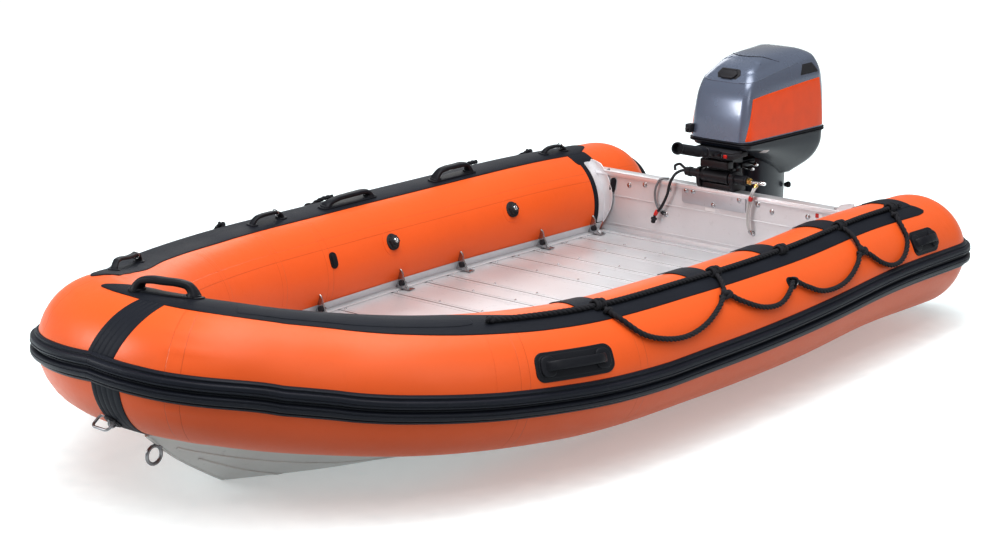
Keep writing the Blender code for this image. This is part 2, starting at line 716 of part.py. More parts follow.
def make_deck():
    """Cross-laid deck panels with their plank joints, and the side rails with brackets."""
    low = DECK_TOP - DECK_THICKNESS
    names = ("deck_fore", "deck_middle", "deck_inner", "deck_aft")
    for name, y0, y1 in zip(names, DECK_JOINTS, DECK_JOINTS[1:]):
        half0, half1 = (COLLAR.centre_x(y) - 0.02 for y in (y0, y1))
        corners = [(half0, y0 + GAP), (half1, y1 - GAP), (-half1, y1 - GAP), (-half0, y0 + GAP)]
        panel = prism_z(name, corners, low, DECK_TOP, ALLOY)
        cut(panel, collar_cutter())
        for groove in [y for y in DECK_GROOVES if y0 < y < y1]:
            near, far = groove - 0.5 * DECK_GROOVE_WIDTH, groove + 0.5 * DECK_GROOVE_WIDTH
            cut(panel, box("groove", (-0.75, near, DECK_TOP - DECK_GROOVE_DEPTH),
                           (0.75, far, DECK_TOP + 0.01), None))
    for side, sign in (("port", 1.0), ("starboard", -1.0)):
        make_rail(f"deck_rail_{side}", sign)


def make_rail(name, sign):
    """An angle rail along the deck's edge with its upright gussets."""
    foot = DECK_TOP + GAP
    top = foot + RAIL_HEIGHT
    places = COLLAR.stations(COLLAR.side(0.34, True), COLLAR.side(2.25, True))
    rings = []
    for s in places[::-1]:
        centre, _, _, _ = COLLAR.frame(s)
        wall = centre.x - math.sqrt((TUBE_RADIUS + 0.004)**2 - (top - centre.z)**2)
        floor = centre.x - math.sqrt((TUBE_RADIUS + 0.004)**2 - (foot - centre.z)**2)
        inner = min(wall, floor) - RAIL_WIDTH
        profile = [(inner, foot), (floor, foot), (wall, top), (wall - RAIL_THICKNESS, top),
                   (floor - RAIL_THICKNESS, foot + RAIL_THICKNESS), (inner, foot + RAIL_THICKNESS)]
        rings.append([(sign * x, centre.y, z) for x, z in profile])
    rail = loft(name, rings, ALLOY)
    cut(rail, collar_cutter())
    for y in BRACKETS_AT:
        x = sign * bracket_x(y)
        near = sign * (abs(x) - 0.034)
        low, high = sorted((x, near))
        gusset = box("gusset", (low, y - 0.004, foot + 0.5 * RAIL_THICKNESS),
                     (high, y + 0.004, foot + 1.25 * RAIL_HEIGHT), ALLOY)
        join(rail, cut(gusset, collar_cutter()))


def bracket_x(y):
    """Half-width of the rail's outer foot at a station."""
    centre = COLLAR.frame(COLLAR.place(y))[0]
    foot = DECK_TOP + 0.6 * RAIL_HEIGHT
    return centre.x - math.sqrt(TUBE_RADIUS**2 - (foot - centre.z)**2)


def make_transom():
    """The aluminium transom with its cap, pad plate and the knees against the collar."""
    back = TRANSOM_FRONT + TRANSOM_THICKNESS
    keel = HULL_STATIONS[-1][1]
    chine_x, chine_z = HULL_STATIONS[-1][2:4]
    corners = [(KEEL_HALF_WIDTH, keel), (chine_x, chine_z), (0.74, 0.24), (0.74, TRANSOM_TOP)]
    outline = corners + [(-x, z) for x, z in corners[::-1]]
    rings = [[(x, y, z) for x, z in outline] for y in (TRANSOM_FRONT, back)]
    transom = loft("transom", rings, ALLOY)
    cut(transom, collar_cutter())
    top = TRANSOM_TOP + GAP
    box("transom_cap", (-CAP_HALF_WIDTH, TRANSOM_FRONT - 0.008, top),
        (CAP_HALF_WIDTH, back + 0.008, top + CAP_HEIGHT), ALLOY)
    box("transom_pad", (-PAD_HALF_WIDTH, TRANSOM_FRONT - GAP - PAD_THICKNESS, PAD_LOW),
        (PAD_HALF_WIDTH, TRANSOM_FRONT - GAP, PAD_HIGH), ALLOY)
    for side, sign in (("port", 1.0), ("starboard", -1.0)):
        make_knee(f"knee_{side}", sign)


def make_knee(name, sign):
    """A curved angle: a flange on the transom's front and a leg along the collar's inner face."""
    limit = TRANSOM_FRONT - GAP
    flange, leg = [], []
    for degrees, width in KNEE_FLANGE:
        flange.append(knee_section(sign, degrees, limit - KNEE_THICKNESS, limit, width))
        lap = limit - 0.5 * KNEE_THICKNESS
        leg.append(knee_section(sign, degrees, limit - KNEE_LEG, lap, KNEE_THICKNESS))
    knee = join(loft(name, flange, ALLOY), loft("leg", leg, ALLOY))
    cut(knee, collar_cutter())
    cut(knee, box("foot", (-1.2, 1.4, -0.5), (1.2, 1.7, DECK_TOP + RAIL_HEIGHT + 0.012), None))
    reach = CAP_HALF_WIDTH + GAP
    cut(knee, box("under_cap", (-reach, 1.4, TRANSOM_TOP), (reach, 1.7, 1.0), None))


def knee_section(sign, degrees, near, far, width):
    """A rectangle standing off the tube at one angle, between two stations."""
    centre = COLLAR.frame(KNEE_ARC)[0]
    a = math.radians(degrees)
    section = []
    for y, height in ((near, 0.0), (far, 0.0), (far, width), (near, width)):
        r = TUBE_RADIUS + KNEE_SEAT + height
        section.append((sign * (centre.x + r * math.cos(a)), y, centre.z + r * math.sin(a)))
    return section


def make_bow_fittings():
    """The towing eye with its ring on the stem and the ring under the bow."""
    plate_y, plate_z = -1.728, 0.212
    tip = (0, plate_y - 0.030, plate_z - 0.012)
    eye = rod("bow_eye", (0, plate_y + 0.004, plate_z), tip, 0.014, 12, STEEL)
    ring = torus("ring", (0, plate_y - 0.046, plate_z - 0.036), (1, 0, 0), 0.032, 0.0055, STEEL)
    join(eye, ring)
    cutter = hull_cutter()
    cut(eye, cutter)
    base = COLLAR.facet_point(COLLAR.middle - BOW_RING_OFFSET, BOW_RING_DEG, 0.0)
    tip = COLLAR.facet_point(COLLAR.middle - BOW_RING_OFFSET, BOW_RING_DEG, 0.1)
    outward = (tip - base).normalized()
    profile = [(BAND_THICKNESS + GAP, 0.034), (0.008, 0.033), (0.010, 0.026)]
    patch = turned("bow_ring", profile, base, outward, 16, STEEL)
    lug = rod("lug", base + 0.006 * outward, base + 0.024 * outward, 0.012, 8, STEEL)
    ring = torus("ring", (0, 0, 0), (0, 1, 0), 0.030, 0.005, STEEL)
    stretch = Matrix.Diagonal((1.65, 1.0, 1.0, 1.0))
    ring.data.transform(Matrix.Translation(base + 0.018 * outward + Vector((0, -0.004, -0.026))) @ stretch)
    join(patch, lug, ring)


def hull_cutter():
    """The stem of the hull with a hair's clearance."""
    rings = []
    for y, keel, chine_x, chine_z, _ in HULL_STATIONS[:5]:
        keel_x = min(KEEL_HALF_WIDTH, 0.5 * chine_x) + GAP
        low = keel - 2 * GAP
        ring = [(keel_x, y - 2 * GAP, low), (chine_x + 0.013, y - 2 * GAP, chine_z + 0.02),
                (-chine_x - 0.013, y - 2 * GAP, chine_z + 0.02), (-keel_x, y - 2 * GAP, low)]
        rings.append(ring)
    return loft("stem", rings, None)


def torus(name, centre, axis, radius, thickness, finish, turns=20, sides=8):
    """A closed ring of round bar."""
    centre, axis = Vector(centre), Vector(axis).normalized()
    side = axis.orthogonal().normalized()
    up = axis.cross(side)
    bm = bmesh.new()
    loops = []
    for i in range(turns):
        a = 2 * math.pi * i / turns
        out = math.cos(a) * side + math.sin(a) * up
        ring = []
        for k in range(sides):
            b = 2 * math.pi * k / sides
            ring.append(bm.verts.new(centre + out * (radius + thickness * math.cos(b))
                                     + axis * thickness * math.sin(b)))
        loops.append(ring)
    for i in range(turns):
        near, far = loops[i], loops[(i + 1) % turns]
        for k in range(sides):
            j = (k + 1) % sides
            bm.faces.new((near[k], near[j], far[j], far[k]))
    return add_object(name, bm, finish)


def plan_ring(front, back, front_half, back_half, front_radius, back_radius, height, grow=0.0):
    """A rounded outline seen from above, level or sloping: height is a function of y."""
    corners = [(front_half + grow, front - grow), (back_half + grow, back + grow),
               (-back_half - grow, back + grow), (-front_half - grow, front - grow)]
    radii = [front_radius + grow, back_radius + grow, back_radius + grow, front_radius + grow]
    return [(x, y, height(y)) for x, y in rounded_outline(corners, radii)]


# Engine cowl: height, front, back, front and back half-width, front and back corner radius
COWL_LEVELS = [
    (SEAM_Z + SEAL_HALF_THICKNESS, 1.575, 2.185, 0.150, 0.198, 0.055, 0.070),
    (0.860, 1.586, 2.183, 0.147, 0.195, 0.055, 0.070),
    (0.940, 1.598, 2.177, 0.143, 0.191, 0.055, 0.070),
    (0.985, 1.616, 2.166, 0.138, 0.184, 0.055, 0.065),
    (1.030, 1.652, 2.146, 0.122, 0.166, 0.050, 0.060),
    (1.065, 1.712, 2.114, 0.098, 0.136, 0.045, 0.050),
    (1.085, 1.786, 2.070, 0.070, 0.100, 0.040, 0.045),
    (1.094, 1.850, 2.010, 0.045, 0.060, 0.030, 0.035),
]
# Lower cowl: front height, back height, front, back, half-widths and corner radii
PAN_LEVELS = [
    (SEAM_Z - SEAL_HALF_THICKNESS, SEAM_Z - SEAL_HALF_THICKNESS, 1.577, 2.183, 0.148, 0.196, 0.053, 0.068),
    (0.700, 0.650, 1.585, 2.168, 0.140, 0.186, 0.050, 0.070),
    (0.694, 0.585, 1.605, 2.130, 0.115, 0.146, 0.045, 0.070),
    (0.690, 0.535, 1.632, 2.090, 0.072, 0.066, 0.040, 0.050),
]


def cowl_ring(index, grow=0.0):
    """One level of the cowl."""
    z, front, back, front_half, back_half, front_radius, back_radius = COWL_LEVELS[index]
    return plan_ring(front, back, front_half, back_half, front_radius, back_radius, lambda _: z, grow)


def pan_ring(level, drop=0.0):
    """One level of the lower cowl, sloping from front to back."""
    front_z, back_z, front, back, front_half, back_half, front_radius, back_radius = level
    slope = (back_z - front_z) / (back - front)
    return plan_ring(front, back, front_half, back_half, front_radius, back_radius,
                     lambda y: front_z + slope * (y - front) - drop)


def make_cowl():
    """The upper cowl shell, its side panels and latch, the seal, the lower cowl and the engine."""
    cowl = loft("cowl", [cowl_ring(i) for i in range(len(COWL_LEVELS))], GREY_PAINT)
    wall = 0.007
    inner = [cowl_ring(i, -wall) for i in range(len(COWL_LEVELS) - 2)]
    inner[-1] = [(x, y, z - 0.5 * wall) for x, y, z in inner[-1]]
    inner[0] = [(x, y, z - 0.02) for x, y, z in inner[0]]
    cut(cowl, loft("hollow", inner, None))
    make_side_panels()
    seam = COWL_LEVELS[0]
    low = [(x, y, SEAM_Z - SEAL_HALF_THICKNESS + GAP) for x, y, _ in cowl_ring(0, 0.004)]
    high = [(x, y, SEAM_Z + SEAL_HALF_THICKNESS - GAP) for x, y, _ in cowl_ring(0, 0.004)]
    loft("cowl_seal", [low, high], BLACK)
    loft("lower_cowl", [pan_ring(level) for level in PAN_LEVELS], GREY_PAINT)
    box("powerhead", (-0.105, 1.690, seam[0] + GAP), (0.105, 2.010, 0.985), ALLOY)
    latch_centre = Vector((0.0, 1.655, 1.028))
    latch = box("cowl_latch", (-0.052, -0.022, -0.012), (0.052, 0.022, 0.012), BLACK)
    latch.data.transform(Matrix.Translation(latch_centre) @ Matrix.Rotation(math.radians(40), 4, "X"))
    cut(latch, loft("body", [cowl_ring(i, 2 * GAP) for i in range(len(COWL_LEVELS))], None))


def make_side_panels():
    """The coloured panels on the cowl's sides, wrapped round to the back corner."""
    first, last = 4, 8
    levels = (0, 1, 2)
    for side, mirror in (("port", 1.0), ("starboard", -1.0)):
        rings = []
        for index in levels:
            outer = cowl_ring(index, 0.0022)
            inner = cowl_ring(index, 3 * GAP)
            lift = 0.006 if index == 0 else 0.0
            picked = outer[first:last + 1] + inner[first:last + 1][::-1]
            rings.append([(mirror * x, y, z + lift) for x, y, z in picked])
        loft(f"cowl_panel_{side}", rings, ((0.80, 0.14, 0.02), 0.3, 0.0))


def streamlined(front, back, half, z_of, steps=5):
    """A rounded nose and a tapering tail, as a horizontal section."""
    chord = back - front
    port = []
    for k in range(steps + 1):
        t = k / steps
        port.append((half * math.sin(math.pi * min(1.0, t**0.6) * 0.5), front + 0.38 * chord * t))
    port.append((0.92 * half, front + 0.68 * chord))
    port.append((0.40 * half, back))
    points = port[1:] + [(-x, y) for x, y in port[:0:-1]]
    points = [(0.12 * half, front)] + points + [(-0.12 * half, front)]
    return [(x, y, z_of(y)) for x, y in points]


def make_leg():
    """The steered leg: yokes round the swivel tube, the strut, gearcase and skeg."""
    front_z, back_z, front, back = PAN_LEVELS[-1][:4]
    slope = (back_z - front_z) / (back - front)

    def under_pan(y):
        return front_z + slope * (y - front) - 2 * GAP

    sections = [
        streamlined(1.800, 2.082, 0.058, under_pan),
        streamlined(1.802, 2.080, 0.056, lambda _: 0.400),
        streamlined(1.812, 2.070, 0.048, lambda _: 0.100),
        streamlined(1.820, 2.060, 0.038, lambda _: PLATE_Z + GAP),
    ]
    leg = loft("leg", sections[::-1], GREY_PAINT)
    for z0, z1 in ((SWIVEL_HIGH + GAP, SWIVEL_HIGH + 0.033), (SWIVEL_LOW - 0.060, SWIVEL_LOW - GAP)):
        corners = [(0.036, SWIVEL_Y - 0.040), (0.044, 1.830), (-0.044, 1.830), (-0.036, SWIVEL_Y - 0.040)]
        outline = rounded_outline(corners, [0.030, 0.010, 0.010, 0.030])
        join(leg, prism_z("yoke", outline, z0, z1, GREY_PAINT))
    plate = [(0.050, 1.790), (0.095, 1.900), (0.100, 2.140)]
    plate += [(-x, y) for x, y in plate[::-1]]
    lower = prism_z("gearcase", plate, PLATE_Z - 0.008, PLATE_Z, GREY_PAINT)
    strut = loft("strut", [streamlined(1.830, 2.050, 0.022, lambda _: SHAFT_Z),
                           streamlined(1.822, 2.058, 0.036, lambda _: PLATE_Z - 0.004)], GREY_PAINT)
    profile = [(0.0, 0.010), (0.020, 0.028), (0.060, 0.044), (0.120, TORPEDO_RADIUS),
               (0.260, TORPEDO_RADIUS), (TORPEDO_LENGTH, 0.040)]
    torpedo = turned("torpedo", profile, (0, TORPEDO_FRONT, SHAFT_Z), (0, 1, 0), 16, GREY_PAINT)
    low = [(0.003, 1.945, SKEG_Z), (0.003, 2.060, SKEG_Z)]
    high = [(0.008, 1.845, SHAFT_Z), (0.005, 2.040, SHAFT_Z)]
    skeg = loft("skeg", [edge + [(-x, y, z) for x, y, z in edge[::-1]] for edge in (low, high)], GREY_PAINT)
    join(lower, strut, torpedo, skeg)


def make_propeller():
    """Hub and three twisted blades behind the gearcase."""
    hub_front = TORPEDO_FRONT + TORPEDO_LENGTH + GAP
    hub = turned("propeller", [(0.0, 0.037), (0.070, 0.036), (0.095, 0.028)],
                 (0, hub_front, SHAFT_Z), (0, 1, 0), 16, BLACK)
    axis = Vector((0, PROPELLER_Y, SHAFT_Z))
    for n in range(3):
        rings = []
        for t, chord, twist in ((0.025, 0.050, 58.0), (0.060, 0.085, 42.0), (0.100, 0.080, 32.0),
                                (PROPELLER_RADIUS, 0.030, 26.0)):
            a = math.radians(twist)
            across = Vector((math.cos(a), math.sin(a), 0.0))
            normal = Vector((-math.sin(a), math.cos(a), 0.0))
            base = Vector((0, 0, t))
            half = 0.5 * chord
            rings.append([base - half * across, base - 0.0025 * normal, base + half * across,
                          base + 0.0025 * normal])
        blade = loft("blade", rings, BLACK)
        turn = Matrix.Rotation(2 * math.pi * n / 3, 4, "Y")
        squeeze = Matrix.Diagonal((1.0, 0.80, 1.0, 1.0))
        centre = Vector((0, hub_front + 0.040, SHAFT_Z))
        blade.data.transform(Matrix.Translation(centre) @ turn @ squeeze)
        join(hub, blade)
    move_origin(hub, axis)


def move_origin(thing, point):
    """Put an object's origin on its joint's axis without moving its shape."""
    thing.data.transform(Matrix.Translation(-point))
    thing.location = point


def make_mounting():
    """Clamp brackets over the transom, the tilt tube and the swivel bracket."""
    front = TRANSOM_FRONT - 0.008 - GAP
    back = TRANSOM_FRONT + TRANSOM_THICKNESS + 0.008 + GAP
    top = TRANSOM_TOP + CAP_HEIGHT + 2 * GAP
    outline = [(front, top), (back, top), (back, 0.080), (back + 0.030, 0.080),
               (back + 0.044, 0.300), (back + 0.030, 0.560), (TILT_Y + 0.030, 0.598),
               (TILT_Y - 0.022, 0.598), (front - 0.012, 0.560)]
    for side, sign in (("port", 1.0), ("starboard", -1.0)):
        low, high = sorted((sign * CLAMP_INNER, sign * CLAMP_OUTER))
        plate = prism_x(f"clamp_bracket_{side}", outline, low, high, BLACK)
        reach = (TILT_TUBE_RADIUS + GAP) / math.cos(math.pi / 24)
        cut(plate, rod("bore", (-0.2, TILT_Y, TILT_Z), (0.2, TILT_Y, TILT_Z), reach, 24, None))
    tube = rod("tilt_tube", (-TILT_TUBE_HALF, TILT_Y, TILT_Z), (TILT_TUBE_HALF, TILT_Y, TILT_Z),
               TILT_TUBE_RADIUS, 24, BLACK)
    rod_end = rod("end", (TILT_TUBE_HALF - 0.01, TILT_Y, TILT_Z), (TILT_TUBE_HALF + 0.09, TILT_Y, TILT_Z),
                  0.009, 12, STEEL)
    join(tube, rod_end)
    make_swivel_bracket()


def make_swivel_bracket():
    """The tilting bracket: a sleeve on the tilt tube, an arm and the upright swivel tube."""
    reach = (TILT_TUBE_RADIUS + RUNNING_CLEARANCE) / math.cos(math.pi / 24)
    upright = rod("swivel_bracket", (0, SWIVEL_Y, SWIVEL_LOW), (0, SWIVEL_Y, SWIVEL_HIGH),
                  SWIVEL_RADIUS, 20, BLACK)
    sleeve = rod("sleeve", (-SLEEVE_HALF, TILT_Y, TILT_Z), (SLEEVE_HALF, TILT_Y, TILT_Z),
                 SLEEVE_RADIUS, 24, BLACK)
    arm = loft("arm", [
        [(-0.060, TILT_Y + 0.004, 0.548), (0.060, TILT_Y + 0.004, 0.548),
         (0.060, TILT_Y + 0.004, 0.590), (-0.060, TILT_Y + 0.004, 0.590)],
        [(-0.026, SWIVEL_Y, 0.480), (0.026, SWIVEL_Y, 0.480),
         (0.026, SWIVEL_Y, 0.578), (-0.026, SWIVEL_Y, 0.578)],
    ], BLACK)
    join(upright, sleeve, arm)
    cut(upright, rod("bore", (-0.2, TILT_Y, TILT_Z), (0.2, TILT_Y, TILT_Z), reach, 24, None))
    move_origin(upright, Vector((0, TILT_Y, TILT_Z)))


def make_tiller():
    """The tiller arm under the lower cowl's front and its twist grip."""
    arm_points = [(1.690, 0.632, 0.020, 0.016), (1.600, 0.652, 0.024, 0.018),
                  (1.515, 0.680, 0.024, 0.019), (TILLER_JOINT_Y, 0.706, 0.020, 0.018)]
    rings = []
    for y, z, half, tall in arm_points:
        rings.append([(TILLER_X - half, y, z - tall), (TILLER_X + half, y, z - tall),
                      (TILLER_X + half, y, z + tall), (TILLER_X - half, y, z + tall)])
    arm = loft("tiller_arm", rings, BLACK)
    cut(arm, loft("body", [pan_ring(level, 2 * GAP) for level in PAN_LEVELS], None))
    start = Vector((TILLER_X, TILLER_JOINT_Y - 2 * GAP, 0.706))
    direction = Vector((0, -0.968, 0.250)).normalized()
    profile = [(0.0, 0.017), (0.045, 0.019), (0.055, 0.021), (0.195, 0.019), (0.205, 0.026),
               (TILLER_GRIP_LENGTH, 0.024)]
    grip = turned("tiller_grip", profile, start, direction, 16, BLACK)
    cut(grip, box("trim", (-0.1, TILLER_JOINT_Y - GAP, 0.6), (0.2, 1.6, 0.8), None))


def make_leads():
    """Three leads that hang from the tilt tube's ends and the transom's top into the boat."""
    inner = TRANSOM_FRONT - 0.016
    crown = TRANSOM_TOP + CAP_HEIGHT + 0.0058
    grey = [(-0.275, TRANSOM_FRONT + 0.02, crown), (-0.292, TRANSOM_FRONT - 0.0085, crown),
            (-0.300, TRANSOM_FRONT - 0.0145, crown - 0.0033), (-0.304, inner, crown - 0.010),
            (-0.318, inner - 0.003, 0.470), (-0.325, inner + 0.003, 0.420), (-0.300, inner + 0.006, 0.366),
            (-0.272, inner + 0.008, 0.350)]
    black = [(-TILT_TUBE_HALF - GAP, TILT_Y, TILT_Z), (-0.182, TILT_Y, TILT_Z),
             (-0.206, TILT_Y - 0.023, TILT_Z - 0.014), (-0.222, inner - 0.020, 0.520),
             (-0.245, inner - 0.016, 0.450), (-0.280, inner - 0.014, 0.385),
             (-0.312, inner - 0.014, 0.345), (-0.318, inner - 0.014, 0.325)]
    twin = [(0.215, TILT_Y - 0.007, TILT_Z - 0.007), (0.2145, TILT_Y - 0.034, TILT_Z - 0.034),
            (0.196, inner - 0.010, 0.480), (0.186, inner - 0.008, 0.420), (0.192, inner - 0.006, 0.365),
            (0.202, inner, 0.338)]
    rope("lead_grey", grey, 0.005, spacing=0.02)
    rope("lead_black", black, 0.0065, spacing=0.02)
    rope("lead_twin", twin, 0.006, spacing=0.02)


def main():
    """Build the boat."""
    clear_scene()
    make_hull()
    make_deck()
    make_transom()
    make_collar()
    make_strakes()
    make_bands()
    make_ropes()
    make_handles()
    make_valves()
    make_bow_fittings()
    make_mounting()
    make_leg()
    make_propeller()
    make_cowl()
    make_tiller()
    make_leads()


main()
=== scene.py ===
"""Finished look of a rigid inflatable rescue boat with a tiller outboard, afloat.

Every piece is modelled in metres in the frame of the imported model: +Z up, the bow towards -Y,
port towards +X, and the waterline at z = 0.
"""
from __future__ import annotations

import logging
import math
from dataclasses import dataclass
from enum import Enum
from typing import Callable, Iterable, Sequence

import bpy
import numpy as np
from mathutils import Matrix, Vector, noise

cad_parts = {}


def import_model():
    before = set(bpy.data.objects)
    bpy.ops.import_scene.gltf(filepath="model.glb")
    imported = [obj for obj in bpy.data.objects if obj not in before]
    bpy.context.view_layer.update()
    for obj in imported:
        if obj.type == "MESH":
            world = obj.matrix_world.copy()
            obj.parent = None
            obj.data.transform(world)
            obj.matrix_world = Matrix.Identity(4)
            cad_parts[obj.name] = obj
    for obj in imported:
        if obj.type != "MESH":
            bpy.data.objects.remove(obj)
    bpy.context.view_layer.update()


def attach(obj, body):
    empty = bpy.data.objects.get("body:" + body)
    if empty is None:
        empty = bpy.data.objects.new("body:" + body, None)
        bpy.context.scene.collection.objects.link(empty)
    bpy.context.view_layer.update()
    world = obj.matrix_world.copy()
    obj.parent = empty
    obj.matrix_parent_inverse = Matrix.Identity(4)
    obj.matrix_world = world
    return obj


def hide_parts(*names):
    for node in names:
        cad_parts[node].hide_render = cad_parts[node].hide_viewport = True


LOG = logging.getLogger("boat")
Colour = tuple[float, float, float]
Point = tuple[float, float, float]
Pair = tuple[float, float]
Rows = Sequence[Point]
Piece = bpy.types.Object
PORT = (1.0, 0.0, 0.0)
AFT = (0.0, 1.0, 0.0)
FORE = (0.0, -1.0, 0.0)
UP = (0.0, 0.0, 1.0)
SIDES = (("port", True), ("starboard", False))
SIGNS = (("port", 1.0), ("starboard", -1.0))
TRANSOM_FRONT = 1.583
TILT_AXIS = (1.585, 0.567)
SWIVEL_Y = 1.725
GRAB_LINE_DEGREES = 73.0
GRAB_LINE_ENDS = (0.34, 2.87)
SEAM_SLIT = 0.0004
FOIL_NOSE = 0.38


class Body(Enum):
    """The bodies that pieces ride on."""

    ROOT = "root"
    SWIVEL = "swivel"
    MOTOR = "motor"
    SCREW = "screw"


class Wire:
    """One value in a material's tree; arithmetic on it adds Math nodes."""

    def __init__(self, tree: "Tree", socket: bpy.types.NodeSocket) -> None:
        self.tree = tree
        self.socket = socket

    def __add__(self, other: "Wire | float") -> "Wire":
        """Give self + other."""
        return self.tree.math("ADD", self, other)

    def __sub__(self, other: "Wire | float") -> "Wire":
        """Give self - other."""
        return self.tree.math("SUBTRACT", self, other)

    def __rsub__(self, other: float) -> "Wire":
        """Give other - self."""
        return self.tree.math("SUBTRACT", other, self)

    def __mul__(self, other: "Wire | float") -> "Wire":
        """Give self * other."""
        return self.tree.math("MULTIPLY", self, other)

    __radd__ = __add__
    __rmul__ = __mul__

    def __abs__(self) -> "Wire":
        """Give the value without its sign."""
        return self.tree.math("ABSOLUTE", self)

    def highest(self, other: "Wire | float") -> "Wire":
        """Give the larger of two values."""
        return self.tree.math("MAXIMUM", self, other)

    def sine(self) -> "Wire":
        """Give the sine of an angle in radians."""
        return self.tree.math("SINE", self)

    def step(self, low: float, high: float) -> "Wire":
        """Rise smoothly from 0 at low to 1 at high.

        Args:
            low: Value where the step starts.
            high: Value where it ends; below low for a falling step.

        Returns:
            The step, from 0 to 1.
        """
        falling = low > high
        first, last = (high, low) if falling else (low, high)
        made = self.tree.add("ShaderNodeMapRange", {"interpolation_type": "SMOOTHSTEP"},
                             {"Value": self, "From Min": first, "From Max": last})
        wire = Wire(self.tree, made.outputs["Result"])
        return 1.0 - wire if falling else wire


class Tree:
    """A material's node tree with its Principled shader."""

    def __init__(self, name: str, colour: Colour, roughness: float, metallic: float = 0.0) -> None:
        self.material = bpy.data.materials.new(name)
        self.material.use_nodes = True
        self.material.diffuse_color = (*colour, 1.0)
        self.shader = self.material.node_tree.nodes["Principled BSDF"]
        self.set("Base Color", (*colour, 1.0))
        self.set("Roughness", roughness)
        self.set("Metallic", metallic)

    def set(self, socket: str, value: "Wire | float | tuple") -> None:
        """Give one of the shader's sockets a value or a link."""
        self.feed(self.shader.inputs[socket], value)

    def feed(self, socket: bpy.types.NodeSocket, value: "Wire | float | tuple") -> None:
        """Give any socket a value or a link."""
        if isinstance(value, Wire):
            self.material.node_tree.links.new(value.socket, socket)
        else:
            socket.default_value = value

    def add(self, kind: str, settings: dict | None = None, inputs: dict | None = None) -> bpy.types.Node:
        """Add any node.

        Args:
            kind: The node's type.
            settings: Properties that are set before its sockets.
            inputs: Values or links by socket name or number.

        Returns:
            The new node.
        """
        node = self.material.node_tree.nodes.new(kind)
        for key, value in (settings or {}).items():
            setattr(node, key, value)
        for key, value in (inputs or {}).items():
            self.feed(node.inputs[key], value)
        return node

    def math(self, operation: str, *values: "Wire | float") -> Wire:
        """Add one Math node for values of which at least one is a Wire."""
        node = self.add("ShaderNodeMath", {"operation": operation}, dict(enumerate(values)))
        return Wire(self, node.outputs[0])

    def place(self) -> Wire:
        """Give the Object coordinates, in metres."""
        return Wire(self, self.add("ShaderNodeTexCoord").outputs["Object"])

    def sheet(self) -> Wire:
        """Give the piece's own UV map, in metres along and across it."""
        return Wire(self, self.add("ShaderNodeTexCoord").outputs["UV"])

    def split(self, vector: Wire) -> tuple[Wire, Wire, Wire]:
        """Give a vector's three parts."""
        node = self.add("ShaderNodeSeparateXYZ", None, {0: vector})
        return tuple(Wire(self, socket) for socket in node.outputs)

    def stretch(self, vector: Wire, scale: Point) -> Wire:
        """Scale coordinates for a pattern."""
        node = self.add("ShaderNodeMapping", None, {0: vector, "Scale": scale})
        return Wire(self, node.outputs[0])

    def noise(self, vector: Wire, scale: float, detail: float = 3.0) -> Wire:
        """Give a cloudy pattern from 0 to 1."""
        node = self.add("ShaderNodeTexNoise", None, {"Vector": vector, "Scale": scale, "Detail": detail})
        return Wire(self, node.outputs["Fac"])

    def cells(self, vector: Wire, scale: float) -> Wire:
        """Give the distance to the nearest of many scattered points."""
        node = self.add("ShaderNodeTexVoronoi", None, {"Vector": vector, "Scale": scale})
        return Wire(self, node.outputs["Distance"])

    def blend(self, factor: Wire, low: "Wire | Colour", high: "Wire | Colour") -> Wire:
        """Mix two colours."""
        node = self.add("ShaderNodeMix", {"data_type": "RGBA"}, {0: factor})
        for socket, colour in ((node.inputs[6], low), (node.inputs[7], high)):
            self.feed(socket, colour if isinstance(colour, Wire) else (*colour, 1.0))
        return Wire(self, node.outputs[2])

    def bump(self, height: Wire, distance: float, under: Wire | None = None) -> Wire:
        """Turn a height from 0 to 1 into a bumped normal, over another bump where one is given."""
        inputs = {"Height": height, "Distance": distance, "Strength": 1.0}
        if under is not None:
            inputs["Normal"] = under
        return Wire(self, self.add("ShaderNodeBump", None, inputs).outputs[0])


def shade(colour: Colour, factor: float) -> Colour:
    """Make a colour lighter or darker."""
    return tuple(min(1.0, part * factor) for part in colour)


@dataclass(frozen=True)
class Finish:
    """A surface finish; its material is shared, and is the frame's own where it has the same name."""

    name: str
    colour: Colour = (0.5, 0.5, 0.5)
    roughness: float = 0.5
    metallic: float = 0.0
    slot: str = ""

    def material(self) -> bpy.types.Material:
        """Give the material of this name, making it where there is none yet."""
        found = bpy.data.materials.get(self.name)
        if found:
            return found
        tree = Tree(self.name, self.colour, self.roughness, self.metallic)
        self.paint(tree)
        return tree.material

    def paint(self, tree: Tree) -> None:
        """Add slight unevenness in tone and gloss."""
        cloud = tree.noise(tree.place(), 14.0)
        fine = tree.noise(tree.place(), 260.0, 2.0)
        tree.set("Base Color", tree.blend(cloud, shade(self.colour, 0.86), shade(self.colour, 1.12)))
        tree.set("Roughness", cloud * 0.12 + (self.roughness - 0.06))
        tree.set("Normal", tree.bump(fine, 0.0003))


